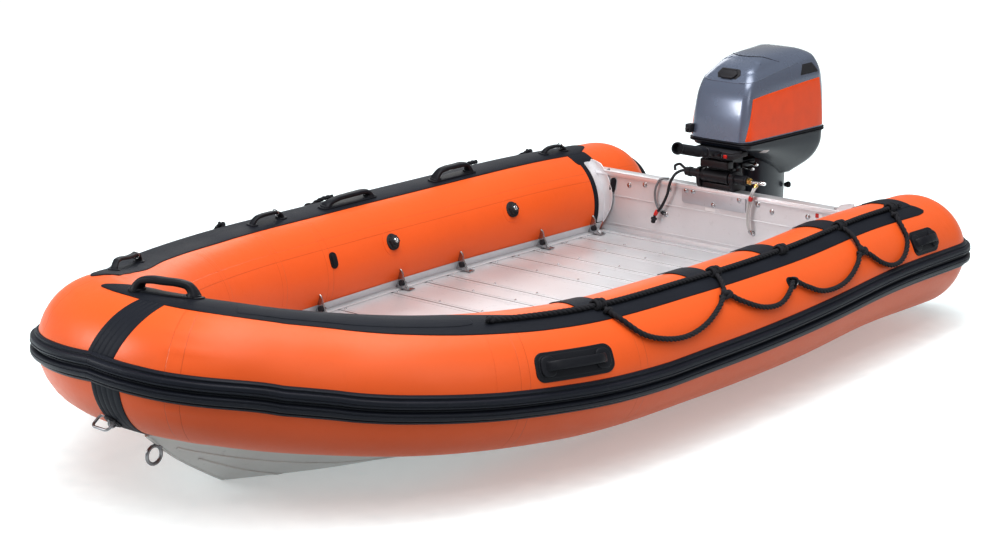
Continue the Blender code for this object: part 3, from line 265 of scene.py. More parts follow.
@dataclass(frozen=True)
class CoatedFabric(Finish):
    """Coated collar fabric with its taped seams, weave and soft creases."""

    seams: tuple[float, ...] = ()
    seam_half: float = 0.017
    seam_edge: float = 0.0016
    long_seam: float = 0.6
    long_seam_half: float = 0.02
    threads: float = 2400.0

    def paint(self, tree: Tree) -> None:
        """Lay the seams and the weave by the UV map and the creases over them."""
        sheet = tree.sheet()
        along, across, _ = tree.split(sheet)
        cloud = tree.noise(tree.place(), 2.6, 4.0)
        mottle = tree.noise(tree.place(), 38.0, 3.0)
        colour = tree.blend(cloud, shade(self.colour, 0.93), shade(self.colour, 1.05))
        colour = tree.blend(mottle.step(0.55, 0.8) * 0.25, colour, shade(self.colour, 0.9))
        tape: Wire | None = None
        edge: Wire | None = None
        for place in self.seams:
            away = abs(along - place)
            on_tape = away.step(self.seam_half, self.seam_half - self.seam_edge)
            at_edge = abs(away - self.seam_half).step(self.seam_edge, 0.0)
            tape = on_tape if tape is None else tape.highest(on_tape)
            edge = at_edge if edge is None else edge.highest(at_edge)
        away = abs(across - self.long_seam)
        tape = tape.highest(away.step(self.long_seam_half, self.long_seam_half - self.seam_edge))
        edge = edge.highest(abs(away - self.long_seam_half).step(self.seam_edge, 0.0))
        colour = tree.blend(edge * 0.45, colour, shade(self.colour, 0.42))
        weave = (along * self.threads).sine() * (across * self.threads).sine() * 0.5 + 0.5
        normal = tree.bump(weave, 0.00006)
        normal = tree.bump(tree.noise(tree.place(), 9.0, 3.0), 0.0016, normal)
        normal = tree.bump(tape, 0.0007, normal)
        tree.set("Base Color", colour)
        tree.set("Roughness", mottle * 0.1 + (self.roughness - 0.05))
        tree.set("Normal", normal)
        tree.set("Specular IOR Level", 0.34)
        tree.set("Coat Weight", 0.09)
        tree.set("Coat Roughness", 0.38)


@dataclass(frozen=True)
class Rubber(Finish):
    """Black rubber with drawn lines along it, pale scuffs and a dull bloom."""

    scuffs: float = 0.35

    def paint(self, tree: Tree) -> None:
        """Lay the lines along the UV map."""
        place = tree.place()
        bloom = tree.noise(place, 6.0, 4.0)
        streak = tree.noise(tree.stretch(tree.sheet(), (9.0, 160.0, 1.0)), 1.0, 3.0)
        scuff = tree.noise(place, 60.0, 4.0).step(0.6, 0.74) * self.scuffs
        colour = tree.blend(bloom, shade(self.colour, 0.8), shade(self.colour, 1.3))
        colour = tree.blend(scuff * 0.5, colour, (0.055, 0.058, 0.066))
        grain = tree.noise(place, 900.0, 2.0)
        normal = tree.bump(grain, 0.00025)
        normal = tree.bump(streak, 0.0004, normal)
        tree.set("Base Color", colour)
        tree.set("Roughness", bloom * 0.16 + scuff * 0.2 + (self.roughness - 0.08))
        tree.set("Normal", normal)
        tree.set("Specular IOR Level", 0.16)


@dataclass(frozen=True)
class Alloy(Finish):
    """Mill finish alloy: soft cloudy gloss, faint rolling lines and small marks."""

    grain: Point = (6.0, 420.0, 60.0)
    grime: float = 0.25

    def paint(self, tree: Tree) -> None:
        """Lay the rolling lines along one axis of the boat."""
        place = tree.place()
        cloud = tree.noise(place, 5.0, 4.0)
        lines = tree.noise(tree.stretch(place, self.grain), 1.0, 3.0)
        marks = tree.noise(place, 42.0, 5.0).step(0.62, 0.75) * self.grime
        colour = tree.blend(cloud, shade(self.colour, 0.9), shade(self.colour, 1.08))
        colour = tree.blend(marks, colour, shade(self.colour, 0.55))
        tree.set("Base Color", colour)
        tree.set("Roughness", cloud * 0.14 + lines * 0.12 + marks * 0.3 + (self.roughness - 0.12))
        tree.set("Normal", tree.bump(lines, 0.00035, tree.bump(cloud, 0.0012)))


@dataclass(frozen=True)
class FlakePaint(Finish):
    """Metallic paint under a clear coat."""

    coat: float = 0.7

    def paint(self, tree: Tree) -> None:
        """Scatter fine flakes under the coat."""
        flakes = tree.cells(tree.place(), 1500.0)
        cloud = tree.noise(tree.place(), 7.0, 3.0)
        tree.set("Base Color", tree.blend(flakes, shade(self.colour, 1.35), shade(self.colour, 0.75)))
        tree.set("Roughness", cloud * 0.06 + self.roughness)
        tree.set("Normal", tree.bump(tree.noise(tree.place(), 380.0, 2.0), 0.00012))
        tree.set("Coat Weight", self.coat)
        tree.set("Coat Roughness", 0.12)
        tree.set("Specular IOR Level", 0.3)


ORANGE = (0.745, 0.116, 0.02)
SEAMS = (2.33, 2.81, 3.835, 5.25, 5.7, 6.01, 4.32)
COLLAR_FABRIC = CoatedFabric("collar_fabric", ORANGE, 0.4, slot="orange_fabric", seams=SEAMS)
BAND_RUBBER = Rubber("band_rubber", (0.012, 0.014, 0.02), 0.56, slot="black_rubber", scuffs=0.2)
STRAKE_RUBBER = Rubber("strake_rubber", (0.013, 0.015, 0.022), 0.4, slot="black_rubber")
MOULDED = Rubber("moulded_rubber", (0.013, 0.014, 0.018), 0.44, slot="black_rubber", scuffs=0.15)
DECK_ALLOY = Alloy("deck_alloy", (0.6, 0.61, 0.63), 0.38, 0.55, "alloy", (5.0, 520.0, 60.0))
PLATE_ALLOY = Alloy("plate_alloy", (0.62, 0.63, 0.65), 0.42, 0.5, "alloy", (6.0, 60.0, 420.0), 0.15)
HULL_ALLOY = Alloy("hull_alloy", (0.62, 0.63, 0.62), 0.46, 0.4, "alloy", (60.0, 5.0, 380.0), 0.2)
STEEL = Finish("stainless", (0.44, 0.44, 0.45), 0.24, 1.0, "steel")
IRON = Finish("dark_steel", (0.22, 0.22, 0.23), 0.3, 1.0, "steel")
CHROME = Finish("bright_metal", (0.8, 0.8, 0.8), 0.1, 1.0, "steel")
BRASS = Finish("brass_fitting", (0.55, 0.38, 0.14), 0.3, 1.0, "steel")
SLATE = FlakePaint("slate_flake", (0.125, 0.15, 0.208), 0.24, 0.4, "slate_paint")
DARK_SLATE = FlakePaint("dark_paint", (0.012, 0.016, 0.026), 0.36, 0.0, "slate_paint", 0.12)
RED_PLASTIC = Finish("red_plastic", (0.5, 0.02, 0.014), 0.4, 0.0, "orange_panel")
PALE_PLASTIC = Finish("pale_plastic", (0.42, 0.42, 0.42), 0.45, 0.0, "black_plastic")
WHITE_FILM = Finish("white_film", (0.75, 0.76, 0.77), 0.35, 0.0, "orange_panel")
ORANGE_FILM = Finish("orange_film", (0.78, 0.078, 0.002), 0.34, 0.0, "orange_panel")
GREY_RUBBER = Finish("grey_rubber", (0.16, 0.16, 0.17), 0.5, 0.0, "black_plastic")
STEEL_CAP = Alloy("cap_alloy", (0.7, 0.7, 0.72), 0.34, 0.6, "alloy", (6.0, 420.0, 60.0), 0.12)
PAD_ALLOY = Alloy("pad_alloy", (0.5, 0.51, 0.54), 0.42, 0.6, "alloy", (6.0, 60.0, 420.0), 0.3)
KNEE_ALLOY = Alloy("knee_alloy", (0.7, 0.7, 0.72), 0.38, 0.5, "alloy", (60.0, 60.0, 60.0), 0.1)
# These four are the frame's own materials, found by their names.
ROPE = Finish("rope", slot="rope")
BLACK_PAINT = Finish("black_paint", slot="black_paint")
BLACK_PLASTIC = Finish("black_plastic", slot="black_plastic")
ENGINE_METAL = Finish("engine_metal", slot="engine_metal")


class Bench:
    """Modelling operators, each started with nothing selected."""

    @staticmethod
    def clear() -> None:
        """Deselect everything."""
        bpy.ops.object.select_all(action="DESELECT")

    @staticmethod
    def named(name: str) -> Piece:
        """Name the object that an operator has just added."""
        piece = bpy.context.object
        piece.name = name
        piece.data.name = name
        return piece

    @classmethod
    def hold(cls, piece: Piece) -> None:
        """Select one piece alone."""
        cls.clear()
        piece.select_set(True)
        bpy.context.view_layer.objects.active = piece

    @classmethod
    def settle(cls, piece: Piece) -> None:
        """Put a piece's place into its mesh."""
        cls.hold(piece)
        bpy.ops.object.transform_apply(location=True, rotation=True, scale=True)

    @classmethod
    def modify(cls, piece: Piece, kind: str, **settings: object) -> None:
        """Add a modifier and apply it."""
        cls.hold(piece)
        modifier = piece.modifiers.new(kind.lower(), kind)
        for key, value in settings.items():
            setattr(modifier, key, value)
        bpy.ops.object.modifier_apply(modifier=modifier.name)

    @classmethod
    def soften(cls, piece: Piece, width: float, segments: int = 2) -> None:
        """Round a piece's hard edges."""
        if width > 0.0:
            cls.modify(piece, "BEVEL", width=width, segments=segments, limit_method="ANGLE",
                       angle_limit=math.radians(32.0))

    @classmethod
    def weld(cls, piece: Piece) -> None:
        """Merge doubled vertices and turn the faces outwards."""
        cls.hold(piece)
        bpy.ops.object.mode_set(mode="EDIT")
        bpy.ops.mesh.select_all(action="SELECT")
        bpy.ops.mesh.remove_doubles(threshold=0.00002)
        bpy.ops.mesh.normals_make_consistent(inside=False)
        bpy.ops.object.mode_set(mode="OBJECT")

    @classmethod
    def join(cls, pieces: Iterable[Piece], name: str) -> Piece:
        """Join several pieces into one."""
        pieces = list(pieces)
        cls.clear()
        for piece in pieces:
            piece.select_set(True)
        bpy.context.view_layer.objects.active = pieces[0]
        if len(pieces) > 1:
            bpy.ops.object.join()
        return cls.named(name)

    @classmethod
    def block(cls, name: str, low: Point, high: Point, bevel: float = 0.001,
              segments: int = 2) -> Piece:
        """Add a cube between two corners and round its edges."""
        cls.clear()
        middle = [0.5 * (a + b) for a, b in zip(low, high)]
        size = [b - a for a, b in zip(low, high)]
        bpy.ops.mesh.primitive_cube_add(size=1.0, location=middle, scale=size)
        piece = cls.named(name)
        cls.settle(piece)
        cls.soften(piece, bevel, segments)
        return piece

    @classmethod
    def turned(cls, name: str, profile: Sequence[Pair], centre: Point, axis: Point,
               sides: int = 32) -> Piece:
        """Extrude a disc ring by ring along an axis.

        Args:
            name: The piece's name.
            profile: Distance along the axis and radius of each ring.
            centre: The point at distance 0.
            axis: The direction of the axis.
            sides: Faces round the axis.

        Returns:
            The closed turned piece.
        """
        cls.clear()
        start, radius = profile[0]
        bpy.ops.mesh.primitive_circle_add(vertices=sides, radius=radius, fill_type="NGON",
                                          location=(0.0, 0.0, start))
        piece = cls.named(name)
        bpy.ops.object.mode_set(mode="EDIT")
        for (here, before), (there, after) in zip(profile, profile[1:]):
            bpy.ops.mesh.extrude_region_move(TRANSFORM_OT_translate={"value": (0.0, 0.0, there - here)})
            ratio = after / before
            bpy.ops.transform.resize(value=(ratio, ratio, 1.0), center_override=(0.0, 0.0, there))
        bpy.ops.object.mode_set(mode="OBJECT")
        piece.rotation_mode = "QUATERNION"
        piece.rotation_quaternion = Vector(axis).normalized().to_track_quat("Z", "Y")
        piece.location = Vector(centre) + Vector(axis).normalized() * start
        cls.settle(piece)
        cls.weld(piece)
        return piece

    @classmethod
    def plate(cls, name: str, outline: Sequence[Pair], low: float, high: float,
              across: int = 2, bevel: float = 0.001) -> Piece:
        """Push a flat outline along an axis.

        Args:
            name: The piece's name.
            outline: Points on the plane of the two other axes, in their order.
            low: Where the plate starts along the axis.
            high: Where it ends.
            across: The axis, 0 to 2.
            bevel: Width of the rounded edges.

        Returns:
            The closed plate.
        """
        cls.clear()
        bpy.ops.mesh.primitive_circle_add(vertices=len(outline), fill_type="NGON")
        piece = cls.named(name)
        for vertex, (a, b) in zip(piece.data.vertices, outline):
            spot = [a, b]
            spot.insert(across, low)
            vertex.co = spot
        push = [0.0, 0.0, 0.0]
        push[across] = high - low
        bpy.ops.object.mode_set(mode="EDIT")
        bpy.ops.mesh.select_all(action="SELECT")
        bpy.ops.mesh.extrude_region_move(TRANSFORM_OT_translate={"value": push})
        bpy.ops.object.mode_set(mode="OBJECT")
        cls.settle(piece)
        cls.weld(piece)
        cls.soften(piece, bevel)
        return piece

    @classmethod
    def grid(cls, name: str, rows: int, columns: int, place: Callable[[int, int], Vector],
             chart: Callable[[int, int], Pair] | None = None) -> Piece:
        """Add a grid and move each of its points.

        Args:
            name: The piece's name.
            rows: Number of points along.
            columns: Number of points across.
            place: Gives the place of a point from its row and column.
            chart: Gives its UV, in metres; none for no map.

        Returns:
            The shaped grid.
        """
        cls.clear()
        bpy.ops.mesh.primitive_grid_add(x_subdivisions=rows - 1, y_subdivisions=columns - 1, size=2.0)
        piece = cls.named(name)
        mesh = piece.data
        spots = [(round(0.5 * (v.co.x + 1.0) * (rows - 1)), round(0.5 * (v.co.y + 1.0) * (columns - 1)))
                 for v in mesh.vertices]
        mesh.vertices.foreach_set("co", [part for i, j in spots for part in place(i, j)])
        if chart:
            charts = [chart(i, j) for i, j in spots]
            loops = [charts[loop.vertex_index] for loop in mesh.loops]
            mesh.uv_layers[0].uv.foreach_set("vector", [part for pair in loops for part in pair])
        mesh.update()
        return piece

    @classmethod
    def cap(cls, piece: Piece) -> None:
        """Fill the open ends of a tube."""
        cls.hold(piece)
        bpy.ops.object.mode_set(mode="EDIT")
        bpy.ops.mesh.select_mode(type="VERT")
        bpy.ops.mesh.select_all(action="DESELECT")
        bpy.ops.mesh.select_non_manifold()
        bpy.ops.mesh.fill_holes(sides=0)
        bpy.ops.mesh.select_all(action="SELECT")
        bpy.ops.mesh.normals_make_consistent(inside=False)
        bpy.ops.object.mode_set(mode="OBJECT")

    @classmethod
    def hose(cls, name: str, points: Sequence[Vector], radii: float | Sequence[float],
             sides: int = 12, lobes: int = 0, pitch: float = 0.07, depth: float = 0.0) -> Piece:
        """Run a round or laid section along a smooth line.

        Args:
            name: The piece's name.
            points: The line, close together.
            radii: One radius, or one for each point.
            sides: Points round the section.
            lobes: Number of strands, or none.
            pitch: Length of one turn of the strands.
            depth: How far the hollows between the strands go in.

        Returns:
            The closed tube.
        """
        points = [Vector(point) for point in points]
        widths = [radii] * len(points) if isinstance(radii, float) else list(radii)
        travel, side, frames = 0.0, None, []
        for k, point in enumerate(points):
            along = (points[min(k + 1, len(points) - 1)] - points[max(k - 1, 0)]).normalized()
            side = along.orthogonal() if side is None else side - along * side.dot(along)
            side.normalize()
            travel += (point - points[k - 1]).length if k else 0.0
            frames.append((point, side.copy(), along.cross(side), travel))

        def place(i: int, j: int) -> Vector:
            """Place one point of the skin."""
            point, first, second, at = frames[i]
            turn = 2.0 * math.pi * j / sides
            hollow = depth * (1.0 - abs(math.cos(0.5 * lobes * turn))) if lobes else 0.0
            lay = turn + (2.0 * math.pi * at / pitch if lobes else 0.0)
            return point + (widths[i] - hollow) * (math.cos(lay) * first + math.sin(lay) * second)

        piece = cls.grid(name, len(points), sides + 1, place,
                         lambda i, j: (frames[i][3], 2.0 * math.pi * widths[i] * j / sides))
        cls.weld(piece)
        cls.cap(piece)
        return piece


def dress(piece: Piece, finish: Finish, body: Body = Body.ROOT, nodes: Sequence[str] = (),
          smooth: float = 35.0) -> Piece:
    """Give a finished piece its material, its body and the nodes that it stands for.

    Args:
        piece: The piece.
        finish: Its finish.
        body: The body that it rides on.
        nodes: The nodes that it replaces.
        smooth: The angle in degrees above which an edge stays sharp.

    Returns:
        The same piece.
    """
    Bench.settle(piece)
    bpy.ops.object.shade_smooth_by_angle(angle=math.radians(smooth))
    piece.data.materials.clear()
    piece.data.materials.append(finish.material())
    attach(piece, body.value)
    if nodes:
        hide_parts(*nodes)
    LOG.info("%s: %d faces on %s", piece.name, len(piece.data.polygons), body.value)
    return piece


def smooth_line(points: Sequence[Sequence[float]], counts: Sequence[int]) -> list[Vector]:
    """Sample a smooth curve through points, with a number of steps for each span."""
    knots = [Vector(point) for point in points]
    spans = [(b - a).length for a, b in zip(knots, knots[1:])]
    last = len(knots) - 1
    slopes = []
    for i in range(last + 1):
        if i in (0, last):
            j = min(i, last - 1)
            slopes.append((knots[j + 1] - knots[j]) / spans[j])
            continue
        before, after = spans[i - 1], spans[i]
        back, ahead = (knots[i] - knots[i - 1]) / before, (knots[i + 1] - knots[i]) / after
        slopes.append((back * after + ahead * before) / (before + after))
    samples = []
    for i, steps in enumerate(counts):
        for k in range(steps):
            t = k / steps
            samples.append(
                (2 * t**3 - 3 * t**2 + 1) * knots[i] + (t**3 - 2 * t**2 + t) * spans[i] * slopes[i]
                + (3 * t**2 - 2 * t**3) * knots[i + 1] + (t**3 - t**2) * spans[i] * slopes[i + 1])
    samples.append(knots[-1])
    return samples


def even_line(points: Sequence[Sequence[float]], spacing: float) -> list[Vector]:
    """Sample a smooth curve through points about every so many metres."""
    spans = [max(1, round((Vector(b) - Vector(a)).length / spacing)) for a, b in zip(points, points[1:])]
    return smooth_line(points, spans)


@dataclass
class CollarLine:
    """The collar's tube: places on its skin by arc length, angle and height.

    The arc length runs from the port stern round the bow, the angle goes from outboard upwards,
    and the height is over the round skin.
    """

    radius: float = 0.238
    unit: float = math.radians(1.0) * 0.238
    first_arc: float = 0.069
    port_centres: tuple[Point, ...] = (
        (0.848, 1.815, 0.324), (0.867, 1.25, 0.348), (0.898, 0.626, 0.346), (0.891, 0.0, 0.353),
        (0.834, -0.676, 0.371), (0.629, -1.222, 0.417), (0.492, -1.424, 0.446), (0.388, -1.591, 0.48),
        (0.283, -1.716, 0.511), (0.138, -1.778, 0.52), (0.0, -1.79, 0.522),
    )
    rings_per_span: tuple[int, ...] = (3, 3, 3, 4, 5, 3, 3, 2, 2, 2)
    fineness: int = 8

    def __post_init__(self) -> None:
        """Work out the fine centreline and its frames."""
        mirrored = tuple((-x, y, z) for x, y, z in self.port_centres[-2::-1])
        knots = self.port_centres + mirrored
        counts = self.rings_per_span + self.rings_per_span[::-1]
        coarse = smooth_line(knots, counts)
        arcs = [self.first_arc]
        for a, b in zip(coarse, coarse[1:]):
            arcs.append(arcs[-1] + (b - a).length)
        fine = smooth_line(knots, [count * self.fineness for count in counts])
        places = np.interp(np.arange(len(fine)) / self.fineness, np.arange(len(arcs)), arcs)
        self.centres = fine
        self.arcs = places
        self.start, self.end = float(places[0]), float(places[-1])
        self.length = self.end + self.first_arc
        self.middle = 0.5 * self.length
        last = len(fine) - 1
        self.frames = []
        for i, centre in enumerate(fine):
            along = (fine[min(i + 1, last)] - fine[max(i - 1, 0)]).normalized()
            out = Vector(UP).cross(along).normalized()
            self.frames.append((centre, out, along.cross(out), along))

    def frame(self, s: float) -> list[Vector]:
        """Centre, outboard, upward and forward vectors at an arc length."""
        s = min(max(s, self.start), self.end)
        i = min(int(np.searchsorted(self.arcs, s, "right")) - 1, len(self.arcs) - 2)
        t = (s - self.arcs[i]) / (self.arcs[i + 1] - self.arcs[i])
        return [a.lerp(b, t) for a, b in zip(self.frames[i], self.frames[i + 1])]

    def point(self, s: float, degrees: float, height: float) -> Vector:
        """A point over the skin; past the ends it goes on round the stern dome."""
        centre, out, up, along = self.frame(s)
        over = max(self.start - s, s - self.end, 0.0) / self.radius
        if over:
            aft = -along if s < self.start else along
            out = math.cos(over) * out + math.sin(over) * aft
        a = math.radians(degrees)
        return centre + float(self.radius + height) * (math.cos(a) * out + math.sin(a) * up)

    def side(self, s: float, port: bool) -> float:
        """Arc length of a port place, or of its mirror place to starboard."""
        return s if port else self.length - s


COLLAR = CollarLine()


def oblong(s: float, reach: float, degrees: float, half: float) -> Rows:
    """Rows of an even pad: its reach along the collar and half its angle across."""
    return tuple((at, degrees - half, degrees + half) for at in (s - reach, s + reach))


def squared(a: float, power: float) -> Pair:
    """Cosine and sine of an angle, drawn out towards a square."""
    cosine, sine = (math.copysign(abs(part) ** power, part) for part in (math.cos(a), math.sin(a)))
    return cosine, sine


@dataclass
class Pad:
    """A reinforcing pad on the collar with rounded corners and a soft rim."""

    name: str
    rows: Rows
    thickness: float = 0.003
    corner: float = 0.012
    lift: float = 0.0
    rim: float = 0.004
    step: float = 0.022
    skin: CollarLine | Shell | None = None

    def levels(self, width: float, count: int) -> list[Pair]:
        """Distances across the pad with the share of its thickness at each."""
        rim = min(self.rim, 0.3 * width)
        inner = [(rim + (width - 2 * rim) * k / count, 1.0) for k in range(1, count)]
        start = [(0.0, -0.3), (0.0, 0.6), (0.35 * rim, 0.9), (rim, 1.0)]
        return start + inner + [(width - at, level) for at, level in start[::-1]]

    def build(self) -> Piece:
        """Model the pad on its skin."""
        skin = self.skin or COLLAR
        low_s, high_s = self.rows[0][0], self.rows[-1][0]
        arcs, lows, highs = zip(*self.rows)
        span = high_s - low_s
        along = self.levels(span, max(2, round(span / self.step)))
        arc = [self.corner * (1.0 - math.cos(math.pi * k / 12)) for k in range(1, 7)]
        rounded = [(at, 1.0) for at in arc + [span - at for at in arc] if self.rim < at < span - self.rim]
        along = sorted(along + rounded, key=lambda pair: pair[0])
        widest = max(high - low for _, low, high in self.rows) * skin.unit
        cells = max(2, round(widest / 0.016))
        columns = len(self.levels(1.0, cells))

        def spot(i: int, j: int) -> Point:
            """Distance along and across the skin and height of a point."""
            distance, level = along[i]
            s = low_s + distance
            low = float(np.interp(s, arcs, lows)) * skin.unit
            high = float(np.interp(s, arcs, highs)) * skin.unit
            near = min(distance, span - distance)
            inset = 0.0
            if near < self.corner:
                inset = self.corner - math.sqrt(self.corner**2 - (self.corner - near) ** 2)
            inset = min(inset, 0.45 * (high - low))
            across, share = self.levels(high - low - 2 * inset, cells)[j]
            return s, low + inset + across, self.lift + self.thickness * min(level, share)

        def place(i: int, j: int) -> Vector:
            """Place a point of the pad."""
            s, across, height = spot(i, j)
            return skin.point(s, across / skin.unit, height)

        piece = Bench.grid(self.name, len(along), columns, place, lambda i, j: spot(i, j)[:2])
        Bench.weld(piece)
        Bench.modify(piece, "SOLIDIFY", thickness=0.0012, offset=-1.0)
        return piece


@dataclass
class Chambers:
    """The three air chambers with their stern domes."""

    seam_from_bow: float = 1.15
    around: int = 96
    spacing: float = 0.02
    dome_degrees: float = 52.0
    dome_rings: int = 12
    wave_height: float = 0.0013
    pucker_at: float = 3.835
    pucker_reach: float = 0.055
    pucker_height: float = 0.0042

    def relief(self, s: float, degrees: float) -> float:
        """Unevenness of the skin: slow waves, and puckers at the bow's mitre seams."""
        a = math.radians(degrees)
        spot = Vector((2.2 * s, 1.3 * math.cos(a), 1.3 * math.sin(a)))
        height = self.wave_height * noise.noise(spot)
        for seam in (self.pucker_at, COLLAR.length - self.pucker_at):
            away = (s - seam) / self.pucker_reach
            if abs(away) < 2.5:
                crease = noise.noise(Vector((7.0 * s, 13.0 * math.cos(a), 13.0 * math.sin(a))))
                height += self.pucker_height * crease * math.exp(-away * away)
        return height

    def rings(self, low: float, high: float, port: bool, dome: bool) -> list[tuple]:
        """Ring frames of one chamber: centre, outboard, up, radius and arc length."""
        count = max(2, round((high - low) / self.spacing))
        rings = []
        for k in range(count + 1):
            s = low + (high - low) * k / count
            centre, out, up, _ = COLLAR.frame(s)
            rings.append((centre, out, up, COLLAR.radius, s))
        if not dome:
            return rings
        end = COLLAR.start if port else COLLAR.end
        centre, out, up, along = COLLAR.frame(end)
        aft = -along if port else along
        extra = []
        for k in range(1, self.dome_rings + 1):
            a = math.radians(self.dome_degrees) * k / self.dome_rings
            past = -a * COLLAR.radius if port else a * COLLAR.radius
            extra.append((centre + COLLAR.radius * math.sin(a) * aft, out, up,
                          COLLAR.radius * math.cos(a), end + past))
        return extra[::-1] + rings if port else rings + extra

    def chamber(self, name: str, rings: list[tuple]) -> None:
        """Skin one chamber."""
        def place(i: int, j: int) -> Vector:
            """Place a point of the skin."""
            centre, out, up, radius, s = rings[i]
            degrees = 360.0 * j / self.around
            a = math.radians(degrees)
            reach = radius + self.relief(s, degrees)
            return centre + reach * (math.cos(a) * out + math.sin(a) * up)

        def chart(i: int, j: int) -> Pair:
            """Arc length and distance round the tube, in metres."""
            return rings[i][4], 2.0 * math.pi * COLLAR.radius * j / self.around

        piece = Bench.grid(name, len(rings), self.around + 1, place, chart)
        Bench.weld(piece)
        Bench.cap(piece)
        dress(piece, COLLAR_FABRIC, nodes=[name.replace("_skin", "")])

    def build(self) -> None:
        """Skin all three and add the stern caps."""
        port_seam = COLLAR.middle - self.seam_from_bow
        star_seam = COLLAR.middle + self.seam_from_bow
        bow = self.rings(port_seam + SEAM_SLIT, star_seam - SEAM_SLIT, True, False)
        self.chamber("collar_bow_skin", bow)
        self.chamber("collar_port_skin", self.rings(COLLAR.start, port_seam, True, True))
        self.chamber("collar_starboard_skin", self.rings(star_seam, COLLAR.end, False, True))
        profile = [(0.178, 0.166), (0.186, 0.1675), (0.19, 0.164), (0.194, 0.161), (0.204, 0.16),
                   (0.207, 0.157), (0.224, 0.148), (0.24, 0.135), (0.253, 0.115), (0.262, 0.092),
                   (0.2665, 0.062), (0.269, 0.058), (0.2735, 0.056), (0.2748, 0.05), (0.275, 0.03)]
        for side, port in SIDES:
            centre, _, _, along = COLLAR.frame(COLLAR.start if port else COLLAR.end)
            aft = -along if port else along
            cap = Bench.turned(f"stern_cap_{side}", profile, centre, aft, 64)
            dress(cap, MOULDED, nodes=[f"end_cap_{side}"])


@dataclass
class Strakes:
    """Double-ribbed rubbing strakes round the collar's widest line."""

    line: tuple[Pair, ...] = (
        (0.07, 2.0), (0.7, 0.0), (1.2, -1.0), (1.7, -3.5), (2.2, -6.0), (2.9, -4.5),
        (3.5, -0.5), (3.85, 3.5), (4.08, 8.0),
    )
    half_profile: tuple[Pair, ...] = (
        (0.0, 0.0118), (0.0016, 0.0112), (0.0026, 0.0086), (0.0046, 0.0086), (0.006, 0.016),
        (0.0078, 0.0222), (0.01, 0.0246), (0.0128, 0.0251), (0.0146, 0.0226), (0.0164, 0.0226),
        (0.0182, 0.0252), (0.0225, 0.0253), (0.0275, 0.0246), (0.0308, 0.0228), (0.0322, 0.0196),
        (0.033, 0.012), (0.0345, 0.0092), (0.038, 0.0092), (0.0396, 0.0112), (0.0424, 0.0112),
        (0.044, 0.0086), (0.049, 0.0066), (0.0508, 0.003), (0.051, -0.001),
    )
    step: float = 0.02
    wrap: float = 0.8

    def middle(self, s: float) -> float:
        """Angle of the strake's middle in degrees."""
        arcs, angles = zip(*self.line)
        return float(np.interp(min(s, COLLAR.length - s), arcs, angles))

    def build(self) -> None:
        """Run the profile along both sides."""
        half = list(self.half_profile)
        profile = [(-d, h) for d, h in half[:0:-1]] + half
        reach = self.wrap * COLLAR.radius
        for side, port in SIDES:
            low = COLLAR.start - reach if port else COLLAR.middle + SEAM_SLIT
            high = COLLAR.middle - SEAM_SLIT if port else COLLAR.end + reach
            rows = round((high - low) / self.step) + 1

            def place(i: int, j: int) -> Vector:
                """Place a point of the strake."""
                s = low + (high - low) * i / (rows - 1)
                distance, height = profile[j]
                return COLLAR.point(s, self.middle(s) + math.degrees(distance / COLLAR.radius), height)

            def chart(i: int, j: int) -> Pair:
                """Distance along and across the strake."""
                return low + (high - low) * i / (rows - 1), profile[j][0]

            piece = Bench.grid(f"rubbing_strake_{side}", rows, len(profile), place, chart)
            Bench.weld(piece)
            Bench.modify(piece, "SOLIDIFY", thickness=0.003, offset=-1.0)
            dress(piece, STRAKE_RUBBER, nodes=[f"strake_{side}"], smooth=40.0)


